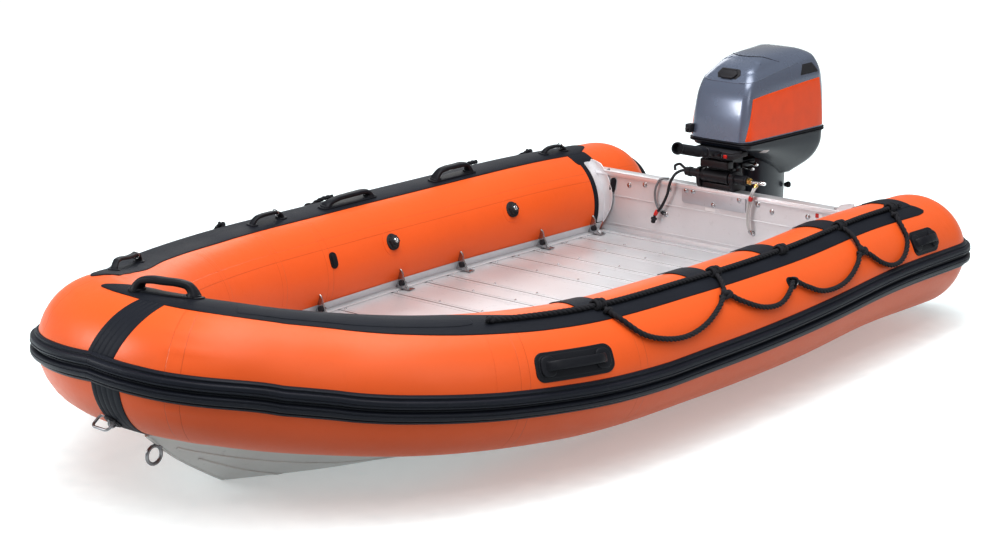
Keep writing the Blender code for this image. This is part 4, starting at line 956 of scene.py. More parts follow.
@dataclass
class Bands:
    """Dark reinforcing bands, straps and the bow's patch and stripes."""

    overlap: float = 0.0026
    port_band: Rows = ((0.19, 58.0, 62.0), (0.25, 56.0, 79.0), (2.7, 57.0, 79.0), (3.0, 60.0, 98.0),
                       (3.35, 65.0, 100.0), (3.7, 69.0, 103.0))
    straps: Rows = ((2.42, 70.0, 116.0), (1.8, 70.0, 116.0), (1.32, 70.0, 116.0), (0.84, 70.0, 116.0),
                    (0.29, 70.0, 113.0))
    strap_half: float = 0.06
    starboard_band: Rows = ((3.78, 80.0, 105.0), (3.35, 66.0, 107.0), (2.7, 57.0, 110.0),
                            (0.3, 56.0, 110.0), (0.19, 75.0, 95.0))
    raised_strip: Rows = ((2.93, 72.0, 79.0), (2.99, 70.0, 83.0), (3.37, 72.0, 90.0), (3.74, 75.0, 89.0))
    stripes: tuple = (
        ("bow_stripe_upper", ((77.6, 3.925, 4.018), (17.2, 3.988, 4.088)), ()),
        ("bow_stripe_lower", ((-3.6, 3.966, 4.066), (-78.0, 3.966, 4.066)), ("bow_stripe_low",)),
    )

    def build(self) -> None:
        """Model both bands and the bow's pieces."""
        band = Pad("top_band_port", self.port_band, corner=0.02).build()
        parts = [band]
        for s, low, high in self.straps:
            rows = [(s - self.strap_half, low, high), (s + self.strap_half, low, high)]
            parts.append(Pad("strap", rows, 0.0022, 0.014, self.overlap).build())
        parts.append(Pad("raised_strip", self.raised_strip, 0.0022, 0.01, self.overlap).build())
        dress(Bench.join(parts, "top_band_port"), BAND_RUBBER, nodes=["band_port"])
        rows = [(COLLAR.length - s, low, high) for s, low, high in self.starboard_band]
        band = Pad("top_band_starboard", rows, corner=0.02).build()
        dress(band, BAND_RUBBER, nodes=["band_starboard"])
        self.bow()

    def bow(self) -> None:
        """Model the pointed patch under the bow handle and the ribbed stripes."""
        middle = COLLAR.middle
        rows = [(3.672, 68.8, 103.2), (3.7003, 69.2, 103.0), (middle - 0.22, 74.0, 108.0),
                (middle + 0.02, 77.0, 104.0), (middle + 0.1, 77.5, 95.0), (middle + 0.165, 78.0, 82.0)]
        patch = Pad("bow_patch_skin", rows, 0.0034, corner=0.006).build()
        dress(patch, BAND_RUBBER, nodes=["bow_patch"])
        for name, ends, nodes in self.stripes:
            dress(Stripe(name, ends).build(), BAND_RUBBER, nodes=nodes)


@dataclass
class Stripe:
    """A finely ribbed stripe that runs down the collar, between two rows of (angle, from, to)."""

    name: str
    ends: tuple[Point, Point]
    thickness: float = 0.0027
    ribs: int = 5
    rib_height: float = 0.0016
    edge_depth: float = 0.0006

    def build(self) -> Piece:
        """Model the stripe with its ribs."""
        (first, low0, high0), (last, low1, high1) = self.ends
        rows = max(4, round(abs(first - last) / 1.5))
        columns = 10 * self.ribs + 3

        def spot(i: int, j: int) -> Pair:
            """Arc length and angle of a point."""
            t = i / rows
            share = min(max((j - 1) / (columns - 3), 0.0), 1.0)
            low, high = low0 + (low1 - low0) * t, high0 + (high1 - high0) * t
            return low + (high - low) * share, first + (last - first) * t

        def place(i: int, j: int) -> Vector:
            """Place a point of the stripe."""
            s, degrees = spot(i, j)
            edge = j in (0, columns - 1) or i in (0, rows)
            share = (j - 1) / (columns - 3)
            rib = self.rib_height * abs(math.sin(math.pi * self.ribs * share)) ** 0.6
            return COLLAR.point(s, degrees, -self.edge_depth if edge else self.thickness - 0.0014 + rib)

        def chart(i: int, j: int) -> Pair:
            """Distance down and across the stripe."""
            s, degrees = spot(i, j)
            return math.radians(degrees) * COLLAR.radius, s

        piece = Bench.grid(self.name, rows + 1, columns, place, chart)
        Bench.weld(piece)
        Bench.modify(piece, "SOLIDIFY", thickness=0.0008, offset=-1.0)
        return piece


@dataclass
class Ropes:
    """The laid grab line and the lifelines."""

    radius: float = 0.0105
    rest: float = 0.0141
    route: tuple[Pair, ...] = (
        (2.392, 62.5), (2.369, 52.0), (2.317, 36.0), (2.212, 26.0), (2.107, 23.0), (1.97, 28.0),
        (1.858, 39.0), (1.795, 47.0), (1.732, 37.0), (1.617, 25.5), (1.508, 24.5), (1.43, 32.0),
        (1.385, 38.0), (1.33, 31.0), (1.245, 22.0), (1.151, 19.0), (1.026, 22.0), (0.917, 32.0),
        (0.855, 40.0), (0.815, 34.0), (0.761, 24.0), (0.685, 17.0), (0.6, 17.0), (0.53, 25.0),
        (0.486, 36.0), (0.468, 49.0), (0.44, 61.5),
    )

    def laid(self, name: str, points: Sequence[Vector]) -> tuple[Piece, list[Vector]]:
        """Make a three-strand rope along a line."""
        line = even_line(points, 0.005)
        return Bench.hose(name, line, self.radius, 18, 3, 0.064, 0.003), line

    def build(self) -> None:
        arcs = np.linspace(*GRAB_LINE_ENDS, 40)
        points = [COLLAR.point(float(s), GRAB_LINE_DEGREES, self.rest - 0.001) for s in arcs]
        grab, _ = self.laid("grab_rope_port", points)
        dress(grab, ROPE, nodes=["grab_line_port"], smooth=50.0)
        for side, port in SIDES:
            points = [COLLAR.point(COLLAR.side(s, port), a, self.rest) for s, a in self.route]
            rope, line = self.laid(f"lifeline_rope_{side}", points)
            dress(rope, ROPE, nodes=[f"lifeline_{side}"], smooth=50.0)
            length = sum((b - a).length for a, b in zip(line, line[1:]))
            tuple(line[0])
            [tuple(p) for p in line]
            LOG.info("lifeline %s is %.3f m", side, length)


def loft(name: str, rings: Sequence[Sequence[Sequence[float]]], closed: bool = True) -> Piece:
    """Skin rings of equally many points.

    Args:
        name: The piece's name.
        rings: The rings, in order.
        closed: Whether each ring closes on itself and the ends are filled.

    Returns:
        The skinned piece.
    """
    count = len(rings[0])
    steps = [0.0]
    for before, after in zip(rings, rings[1:]):
        steps.append(steps[-1] + (Vector(after[0]) - Vector(before[0])).length)
    around = [0.0]
    for k in range(count):
        around.append(around[-1] + (Vector(rings[0][(k + 1) % count]) - Vector(rings[0][k])).length)
    piece = Bench.grid(name, len(rings), count + closed, lambda i, j: Vector(rings[i][j % count]),
                       lambda i, j: (steps[i], around[j]))
    Bench.weld(piece)
    if closed:
        Bench.cap(piece)
    return piece


def ring(name: str, centre: Sequence[float], axis: Sequence[float], radius: float,
         thickness: float) -> Piece:
    """Bend a round bar into a ring about an axis."""
    Bench.clear()
    bpy.ops.mesh.primitive_torus_add(major_radius=radius, minor_radius=thickness, major_segments=40,
                                     minor_segments=14)
    piece = Bench.named(name)
    Bench.settle(piece)
    heading = Vector(axis).normalized().to_track_quat("Z", "Y").to_matrix().to_4x4()
    piece.data.transform(Matrix.Translation(centre) @ heading)
    return piece


def bolt(centre: Sequence[float], axis: Sequence[float], radius: float = 0.008,
         domed: bool = False) -> Piece:
    """Seat a washer with a hexagonal or domed head."""
    centre, axis = Vector(centre), Vector(axis).normalized()
    washer = Bench.turned("washer", [(-0.001, radius), (0.001, radius), (0.0014, 0.92 * radius)],
                          centre, axis, 20)
    if domed:
        profile = [(0.0012, 0.72 * radius), (0.003, 0.66 * radius), (0.0044, 0.46 * radius),
                   (0.005, 0.2 * radius)]
        head = Bench.turned("head", profile, centre, axis, 16)
    else:
        profile = [(0.0012, 0.66 * radius), (0.0052, 0.66 * radius), (0.0058, 0.56 * radius)]
        head = Bench.turned("head", profile, centre, axis, 6)
    return Bench.join([washer, head], "bolt")


def inner_wall(y: float, z: float) -> float:
    """Half-width between the collar's inner faces at a station and a height."""
    centres = np.array([tuple(point) for point in COLLAR.centres[: len(COLLAR.centres) // 2 + 1]])
    low, high = 0.0, 0.9
    for _ in range(24):
        x = 0.5 * (low + high)
        clear = np.linalg.norm(centres - (x, y, z), axis=1).min() > COLLAR.radius
        low, high = (x, high) if clear else (low, x)
    return low


@dataclass
class Arch:
    """A grip that rises from the collar, runs along it and comes down again."""

    start: float
    end: float
    degrees: Pair
    rise: float
    width: float
    thickness: float
    base: float
    leads: Pair = (0.045, 0.045)
    flare: float = 1.45
    sink: float = 0.004
    sides: int = 18

    def build(self) -> Piece:
        """Sweep the grip's rounded section along its path."""
        span = self.end - self.start
        first, last = (min(lead, 0.45 * span) for lead in self.leads)
        path = [(0.0, -self.sink), (0.1 * first, 0.3 * self.rise), (0.45 * first, 0.82 * self.rise),
                (first, self.rise), (0.5 * (first + span - last), 1.03 * self.rise),
                (span - last, self.rise), (span - 0.45 * last, 0.82 * self.rise),
                (span - 0.1 * last, 0.3 * self.rise), (span, -self.sink)]
        knots = [(self.start + along, self.base + height, 0.0) for along, height in path]
        line = smooth_line(knots, [3, 5, 5, 6, 6, 5, 5, 3])
        rings = []
        for i, spot in enumerate(line):
            heading = (line[min(i + 1, len(line) - 1)] - line[max(i - 1, 0)]).normalized()
            low = 1.0 - min(1.0, max(0.0, (spot.y - self.base) / self.rise))
            half_width = 0.5 * self.width * (1.0 + (self.flare - 1.0) * low**2)
            half_depth = 0.5 * self.thickness * (1.0 + 0.5 * low**2)
            share = (spot.x - self.start) / span
            middle = self.degrees[0] + (self.degrees[1] - self.degrees[0]) * share
            points = []
            for k in range(self.sides):
                a = 2.0 * math.pi * k / self.sides
                cosine, sine = squared(a, 0.6)
                depth = half_depth * sine
                across = math.degrees(half_width * cosine / COLLAR.radius)
                points.append(COLLAR.point(spot.x - heading.y * depth, middle + across,
                                           spot.y + heading.x * depth))
            rings.append(points)
        return loft("grip", rings)


@dataclass
class Handles:
    """Moulded carrying handles, strap loops and the patches under them."""

    side_handles: tuple = (("fore", 2.615, 0.155, 24.0), ("aft", 0.345, 0.105, 28.0))
    side_half: float = 12.5
    rim: float = 0.011
    grips: tuple = (
        ("bow_handle", 3.875, 4.08, (99.0, 88.0), (0.037, 0.034, 0.025), (0.048, 0.048)),
        ("grab_handle", 6.905, 7.125, (99.0, 99.0), (0.038, 0.028, 0.019), (0.055, 0.045)),
        ("low_handle", 6.2, 6.48, (99.0, 99.0), (0.024, 0.026, 0.019), (0.15, 0.045)),
    )
    loops: tuple = ((4.48, 4.82, 92.0, 0.028), (5.76, 5.94, 97.0, 0.026), (7.63, 7.77, 96.0, 0.022))

    def build(self) -> None:
        """Model every handle."""
        for side, port in SIDES:
            for place, s, reach, degrees in self.side_handles:
                self.side_handle(side, place, COLLAR.side(s, port), reach, degrees)
        for grip in self.grips:
            self.top_handle(*grip)
        for number, (s0, s1, degrees, rise) in enumerate(self.loops):
            self.strap_loop(number, s0, s1, degrees, rise)

    def side_handle(self, side: str, place: str, middle: float, reach: float, degrees: float) -> None:
        """Model a grip on its rounded patch."""
        patch = Pad("patch", oblong(middle, reach, degrees, self.side_half), 0.0032, 0.034)
        half = self.side_half - math.degrees(self.rim / COLLAR.radius)
        inner = Pad("inner", oblong(middle, reach - self.rim, degrees, half), 0.0026, 0.03, 0.0028)
        grip = Arch(middle - 0.74 * reach, middle + 0.74 * reach, (degrees, degrees), 0.027, 0.029, 0.011,
                    0.008, (0.062, 0.062), 1.3)
        cups = []
        for sign in (-1.0, 1.0):
            s = middle + sign * 0.7 * reach
            cups.append(Pad("cup", oblong(s, 0.03, degrees, 8.5), 0.0075, 0.026, 0.0045, 0.006).build())
        piece = Bench.join([patch.build(), inner.build(), grip.build(), *cups],
                           f"moulded_handle_{side}_{place}")
        dress(piece, MOULDED, nodes=[f"side_handle_{side}_{place}"], smooth=40.0)

    def top_handle(self, node: str, s0: float, s1: float, degrees: Pair, size: Point,
                   leads: Pair) -> None:
        """Model a grip of a given rise, width and thickness on its base plate."""
        rise, width, thickness = size
        reach = math.degrees(0.024 / COLLAR.radius)
        ends = ((s0 - 0.035, degrees[0] - reach, degrees[0] + reach),
                (s1 + 0.035, degrees[1] - reach, degrees[1] + reach))
        plate = Pad("plate", ends, 0.006, 0.022, 0.003, 0.005, step=0.008)
        grip = Arch(s0, s1, degrees, rise, width, thickness, 0.009, leads, 1.7)
        feet = []
        for s, angle in ((s0 + 0.004, degrees[0]), (s1 - 0.004, degrees[1])):
            rows = oblong(s, 0.026, angle, 0.85 * reach)
            feet.append(Pad("foot", rows, 0.005, 0.018, 0.0088, 0.007, step=0.008).build())
        piece = Bench.join([plate.build(), grip.build(), *feet], f"{node}_moulding")
        dress(piece, MOULDED, nodes=[node], smooth=40.0)

    def strap_loop(self, number: int, s0: float, s1: float, degrees: float, rise: float) -> None:
        """Model a webbing loop with its sewn feet and a steel ring."""
        strap = Arch(s0, s1, (degrees, degrees), rise, 0.02, 0.0135, 0.008, (0.055, 0.055), 1.3)
        feet = []
        for s in (s0, s1):
            feet.append(Pad("foot", oblong(s, 0.022, degrees, 5.0), 0.0055, 0.014, 0.0026, 0.005).build())
        dress(Bench.join([strap.build(), *feet], f"strap_loop_{number}"), MOULDED, smooth=40.0)
        s = s0 + 0.8 * (s1 - s0)
        out = COLLAR.point(s, degrees, 0.1) - COLLAR.point(s, degrees, 0.0)
        along = COLLAR.frame(s)[3]
        hoop = ring("hoop", COLLAR.point(s, degrees, 0.008 + 0.92 * rise), along + 0.4 * out.normalized(),
                    0.0145, 0.0022)
        dress(Bench.join([hoop], f"strap_ring_{number}"), STEEL)


@dataclass
class Valves:
    """Inflation valves with their fabric discs, and the oval plugs."""

    places: tuple = (("fore", 1.711), ("aft", 0.918))
    seat_degrees: float = 160.0
    face_degrees: float = 153.0
    plug: Pair = (2.086, 162.0)

    def build(self) -> None:
        """Fit the valves and the plugs on both sides."""
        for side, port in SIDES:
            for place, s in self.places:
                self.valve(side, place, COLLAR.side(s, port))
            self.oval(side, COLLAR.side(self.plug[0], port))

    def disc(self, name: str, s: float, degrees: float, reach: float, height: float,
             thickness: float) -> Piece:
        """Lay an oval disc, reach along and height round the collar."""
        across = math.degrees(height / COLLAR.radius)
        rows = oblong(s, reach, degrees, across)
        return Pad(name, rows, thickness, min(reach, height) * 0.96, 0.0, 0.003, 0.005).build()

    def valve(self, side: str, place: str, s: float) -> None:
        """Fit one valve."""
        disc = self.disc(f"valve_disc_{side}_{place}", s, self.seat_degrees, 0.058, 0.058, 0.0011)
        dress(disc, COLLAR_FABRIC)
        centre = COLLAR.point(s, self.seat_degrees, 0.0)
        out = COLLAR.point(s, self.face_degrees, 0.1) - COLLAR.point(s, self.face_degrees, 0.0)
        profile = [(-0.004, 0.0355), (0.004, 0.0355), (0.0058, 0.0335), (0.0062, 0.028), (0.0075, 0.0262),
                   (0.015, 0.025), (0.018, 0.0238), (0.0186, 0.0205), (0.0215, 0.02), (0.0245, 0.0185),
                   (0.0262, 0.0155), (0.0262, 0.0125), (0.0235, 0.0118)]
        body = Bench.turned("body", profile, centre, out, 48)
        lugs = []
        heading = out.normalized()
        side_way = heading.orthogonal().normalized()
        for k in range(6):
            way = Matrix.Rotation(math.radians(60.0 * k), 3, heading) @ side_way
            spot = centre + 0.0125 * heading + 0.0245 * way
            lugs.append(Bench.turned("lug", [(-0.005, 0.0042), (0.0046, 0.0042), (0.0055, 0.0034)], spot,
                                     heading, 10))
        dress(Bench.join([body, *lugs], f"valve_body_{side}_{place}"), BLACK_PLASTIC,
              nodes=[f"valve_{side}_{place}"])
        pin = [(0.0228, 0.0112), (0.0268, 0.0112), (0.0282, 0.0098), (0.0285, 0.0055), (0.0268, 0.005)]
        dress(Bench.turned(f"valve_stem_{side}_{place}", pin, centre, out, 32), CHROME)

    def oval(self, side: str, s: float) -> None:
        """Fit an oval plug."""
        degrees = self.plug[1]
        outer = self.disc("outer", s, degrees, 0.021, 0.034, 0.0038)
        inner = self.disc("inner", s, degrees, 0.013, 0.025, 0.007)
        dress(Bench.join([outer, inner], f"oval_plug_{side}"), MOULDED)


@dataclass
class Lashings:
    """Turns of thin rope, drop ropes, knots and fairlead patches that hold the lifelines."""

    lashed: tuple[float, ...] = (2.403, 1.742, 1.291, 0.824, 0.398)
    drops: tuple[Point, ...] = ((1.742, 1.795, 47.0), (0.824, 0.855, 40.0))
    swag: Pair = (1.385, 38.0)
    ends: tuple[Pair, ...] = ((2.392, 62.5), (0.44, 61.5))
    rope: float = 0.01
    cord: float = 0.0058

    def build(self) -> None:
        """Lash the port grab line, knot its ends and hang the swags on both sides."""
        for number, s in enumerate(self.lashed):
            self.whipping(f"lashing_{number}", s)
        for number, s in enumerate(GRAB_LINE_ENDS):
            knot = self.knot(f"end_knot_{number}", COLLAR.point(s, GRAB_LINE_DEGREES, 0.016), 0.0125)
            dress(knot, ROPE, smooth=50.0)
        for side, port in SIDES:
            self.fairlead(side, COLLAR.side(self.swag[0], port), self.swag[1])
            for number, drop in enumerate(self.drops):
                self.drop(f"drop_rope_{side}_{number}", port, *drop)
            for number, (s, degrees) in enumerate(self.ends):
                spot = COLLAR.point(COLLAR.side(s, port), degrees + 1.5, 0.014)
                dress(self.knot(f"lifeline_knot_{side}_{number}", spot, 0.0135), ROPE, smooth=50.0)

    def whipping(self, name: str, middle: float) -> None:
        """Wind rope round the grab line, with one turn crossing the others."""
        turns, steps, reach, pitch = 4.0, 24, 0.0162, 0.0118
        points = []
        for k in range(round(turns * steps) + 1):
            a = 2.0 * math.pi * k / steps
            s = middle + pitch * (k / steps - 0.5 * turns)
            height = max(0.014 + reach * math.sin(a), 0.0065)
            degrees = GRAB_LINE_DEGREES + math.degrees(reach * math.cos(a) / COLLAR.radius)
            points.append(COLLAR.point(s, degrees, height))
        over = [COLLAR.point(middle + 0.02 * t, GRAB_LINE_DEGREES + 4.6 * t, 0.0345 - 0.02 * t * t)
                for t in np.linspace(-1.0, 1.0, 9)]
        winding = Bench.hose("winding", points, self.cord, 10)
        crossing = Bench.hose("crossing", even_line(over, 0.005), self.cord, 10)
        dress(Bench.join([winding, crossing], name), ROPE, smooth=50.0)

    def drop(self, name: str, port: bool, top: float, low: float, degrees: float) -> None:
        """Hang a rope from the band down to a bulky knot round the lifeline."""
        line = [COLLAR.point(COLLAR.side(top + (low - top) * t, port),
                             GRAB_LINE_DEGREES - 2.0 + (degrees + 3.0 - GRAB_LINE_DEGREES) * t,
                             0.012 + 0.006 * math.sin(math.pi * t)) for t in np.linspace(0.0, 1.0, 7)]
        rope = Bench.hose("rope", even_line(line, 0.004), self.rope, 18, 3, 0.06, 0.0028)
        middle = COLLAR.point(COLLAR.side(low, port), degrees, 0.0165)
        turns = []
        for k in range(49):
            a = 2.0 * math.pi * k / 24
            s = low + 0.01 * (k / 24 - 1.0) + 0.019 * math.cos(a)
            lift = degrees + 3.2 * math.sin(a)
            turns.append(COLLAR.point(COLLAR.side(s, port), lift, 0.0155 + 0.009 * math.sin(2.0 * a)))
        wound = Bench.hose("wound", turns, 0.0072, 12)
        dress(Bench.join([rope, self.knot("heart", middle, 0.017), wound], name), ROPE, smooth=50.0)

    def knot(self, name: str, centre: Vector, size: float) -> Piece:
        """Tie a tight overhand knot."""
        points = []
        for k in range(73):
            a = 2.0 * math.pi * k / 72
            spot = Vector((math.sin(a) + 1.6 * math.sin(2 * a), math.cos(a) - 1.6 * math.cos(2 * a),
                           -1.1 * math.sin(3 * a)))
            points.append(centre + 0.36 * size * spot)
        return Bench.hose(name, points, 0.5 * size, 12)

    def fairlead(self, side: str, s: float, degrees: float) -> None:
        """Sew on a round patch with its rope eye and steel ring."""
        rows = oblong(s, 0.026, degrees, math.degrees(0.026 / COLLAR.radius))
        patch = Pad("patch", rows, 0.003, 0.024, 0.0, 0.004, 0.006).build()
        lug = [COLLAR.point(s, degrees + 4.4 - 1.1 * k, 0.003 + 0.028 * math.sin(math.pi * k / 8))
               for k in range(9)]
        eye = Bench.hose("lug", even_line(lug, 0.003), 0.0058, 12)
        dress(Bench.join([patch, eye], f"fairlead_{side}"), MOULDED)
        centre = COLLAR.point(s, degrees, 0.0145)
        dress(ring(f"fairlead_ring_{side}", centre, COLLAR.frame(s)[3], 0.0165, 0.0026), STEEL)


@dataclass
class BowFittings:
    """Towing eye on the stem and the ring under the bow."""

    eye: Point = (0.0, -1.728, 0.212)
    ring_offset: float = 0.017
    ring_degrees: float = -45.0
    link: Pair = (0.04, 0.026)
    link_centre: Point = (0.006, -1.988, 0.352)

    def build(self) -> None:
        """Model both fittings."""
        x, y, z = self.eye
        way = Vector((0.0, -0.03, -0.012))
        plate = Bench.turned("plate", [(-0.012, 0.021), (0.0, 0.021), (0.0015, 0.0195), (0.002, 0.015),
                                       (0.012, 0.0125), (0.024, 0.0118), (0.03, 0.0095)],
                             Vector(self.eye) - 0.1 * way, way, 32)
        loop = ring("loop", (x, y - 0.044, z - 0.034), PORT, 0.032, 0.0066)
        nut = Bench.turned("nut", [(0.01, 0.0135), (0.018, 0.0135), (0.0188, 0.012)],
                           Vector(self.eye), way, 6)
        dress(Bench.join([plate, loop, nut], "towing_eye"), IRON, nodes=["bow_eye"])
        s = COLLAR.middle - self.ring_offset
        base = COLLAR.point(s, self.ring_degrees, 0.0)
        out = (COLLAR.point(s, self.ring_degrees, 0.1) - base).normalized()
        disc = Bench.turned("disc", [(-0.004, 0.034), (0.0055, 0.034), (0.0068, 0.0325), (0.008, 0.027),
                                     (0.01, 0.0255)], base, out, 40)
        dress(Bench.join([disc], "bow_ring_patch"), MOULDED)
        arc = []
        for a in np.linspace(0.0, math.pi, 17):
            across = Vector((0.0, 0.012 * math.cos(a), -0.012 * math.cos(a)))
            arc.append(base + 0.006 * out + across + 0.017 * math.sin(a) * out)
        lug = Bench.hose("lug", arc, 0.0046, 12)
        reach, tall = self.link
        outline = rounded_box(-reach, reach, -tall, tall, 0.016, 6)
        back = Vector((0.0, 0.83, 0.56)).normalized()
        spots = [Vector(self.link_centre) + Vector((x, 0.0, 0.0)) + z * back for x, z in outline]
        spots.append(spots[0])
        link = Bench.hose("link", spots, 0.0052, 12)
        dress(Bench.join([lug, link], "bow_ring_link"), IRON, nodes=["bow_ring"])


@dataclass
class Hull:
    """Welded alloy V hull: skin, keel bar, spray rails and chine welds."""

    stations: tuple = (
        (-1.8, 0.258, 0.008, 0.268, 0.33), (-1.745, 0.207, 0.026, 0.24, 0.33),
        (-1.7, 0.168, 0.05, 0.222, 0.33), (-1.564, 0.072, 0.13, 0.19, 0.32),
        (-1.424, -0.012, 0.215, 0.165, 0.29), (-1.327, -0.055, 0.27, 0.148, 0.25),
        (-1.177, -0.103, 0.35, 0.124, 0.1977), (-0.95, -0.14, 0.44, 0.098, 0.1977),
        (-0.6, -0.154, 0.52, 0.074, 0.1977), (0.0, -0.154, 0.58, 0.056, 0.1977),
        (0.8, -0.154, 0.605, 0.048, 0.1977), (1.5824, -0.154, 0.61, 0.044, 0.1977),
    )
    top_half: float = 0.72
    flare_length: float = 0.8
    keel_half: float = 0.012
    steps: tuple[int, ...] = (4, 4, 6, 6, 4, 6, 8, 10, 14, 16, 16)

    def edges(self) -> list[list[Vector]]:
        """Smooth lengthwise lines of the keel, chine and top edge on port."""
        keel, chine, lip, top = [], [], [], []
        for y, keel_z, chine_x, chine_z, top_z in self.stations:
            spread = min(1.0, (y - self.stations[0][0]) / self.flare_length)
            top_x = chine_x + spread**0.7 * (self.top_half - chine_x) + 0.014
            keel.append((min(self.keel_half, 0.5 * chine_x), y, keel_z))
            chine.append((chine_x, y, chine_z - 0.014))
            lip.append((chine_x + 0.012, y, chine_z))
            top.append((top_x, y, top_z))
        return [smooth_line(line, self.steps) for line in (keel, chine, lip, top)]

    def build(self) -> None:
        """Plate the hull and weld its rails on."""
        keel, chine, lip, top = self.edges()
        rings = []
        for k in range(len(keel)):
            side = [keel[k].lerp(chine[k], t / 8) for t in range(9)] + [lip[k]]
            side += [lip[k].lerp(top[k], t / 8) for t in range(1, 9)]
            side = self.clip(side)
            rings.append([Vector((-p.x, p.y, p.z)) for p in side[::-1]] + side)
        skin = loft("hull_skin", rings, closed=False)
        Bench.modify(skin, "SOLIDIFY", thickness=0.004, offset=0.0)
        dress(skin, HULL_ALLOY, nodes=["hull"], smooth=24.0)
        bar = [Vector((0.0, p.y - 0.002, p.z - 0.001)) for p in keel]
        rails = [Bench.hose("keel_bar", bar, 0.0075, 10)]
        for sign in (-1.0, 1.0):
            for share, low in ((0.36, 12), (0.68, 8)):
                line = [a.lerp(b, share) for a, b in zip(keel, chine)][low:]
                rails.append(Bench.hose("rail", [Vector((sign * p.x, p.y, p.z - 0.001)) for p in line],
                                        0.006, 8))
            weld = [Vector((sign * (p.x + 0.001), p.y, p.z)) for p in lip]
            rails.append(Bench.hose("weld", weld, 0.0032, 8))
        dress(Bench.join(rails, "hull_rails"), HULL_ALLOY)

    def clip(self, side: list[Vector]) -> list[Vector]:
        """Stop the topside just inside the collar."""
        y = side[0].y
        for k in range(10, len(side)):
            limit = inner_wall(y, side[k].z) + 0.012
            if side[k].x > limit and limit > side[9].x:
                side[k].x = limit
        return side


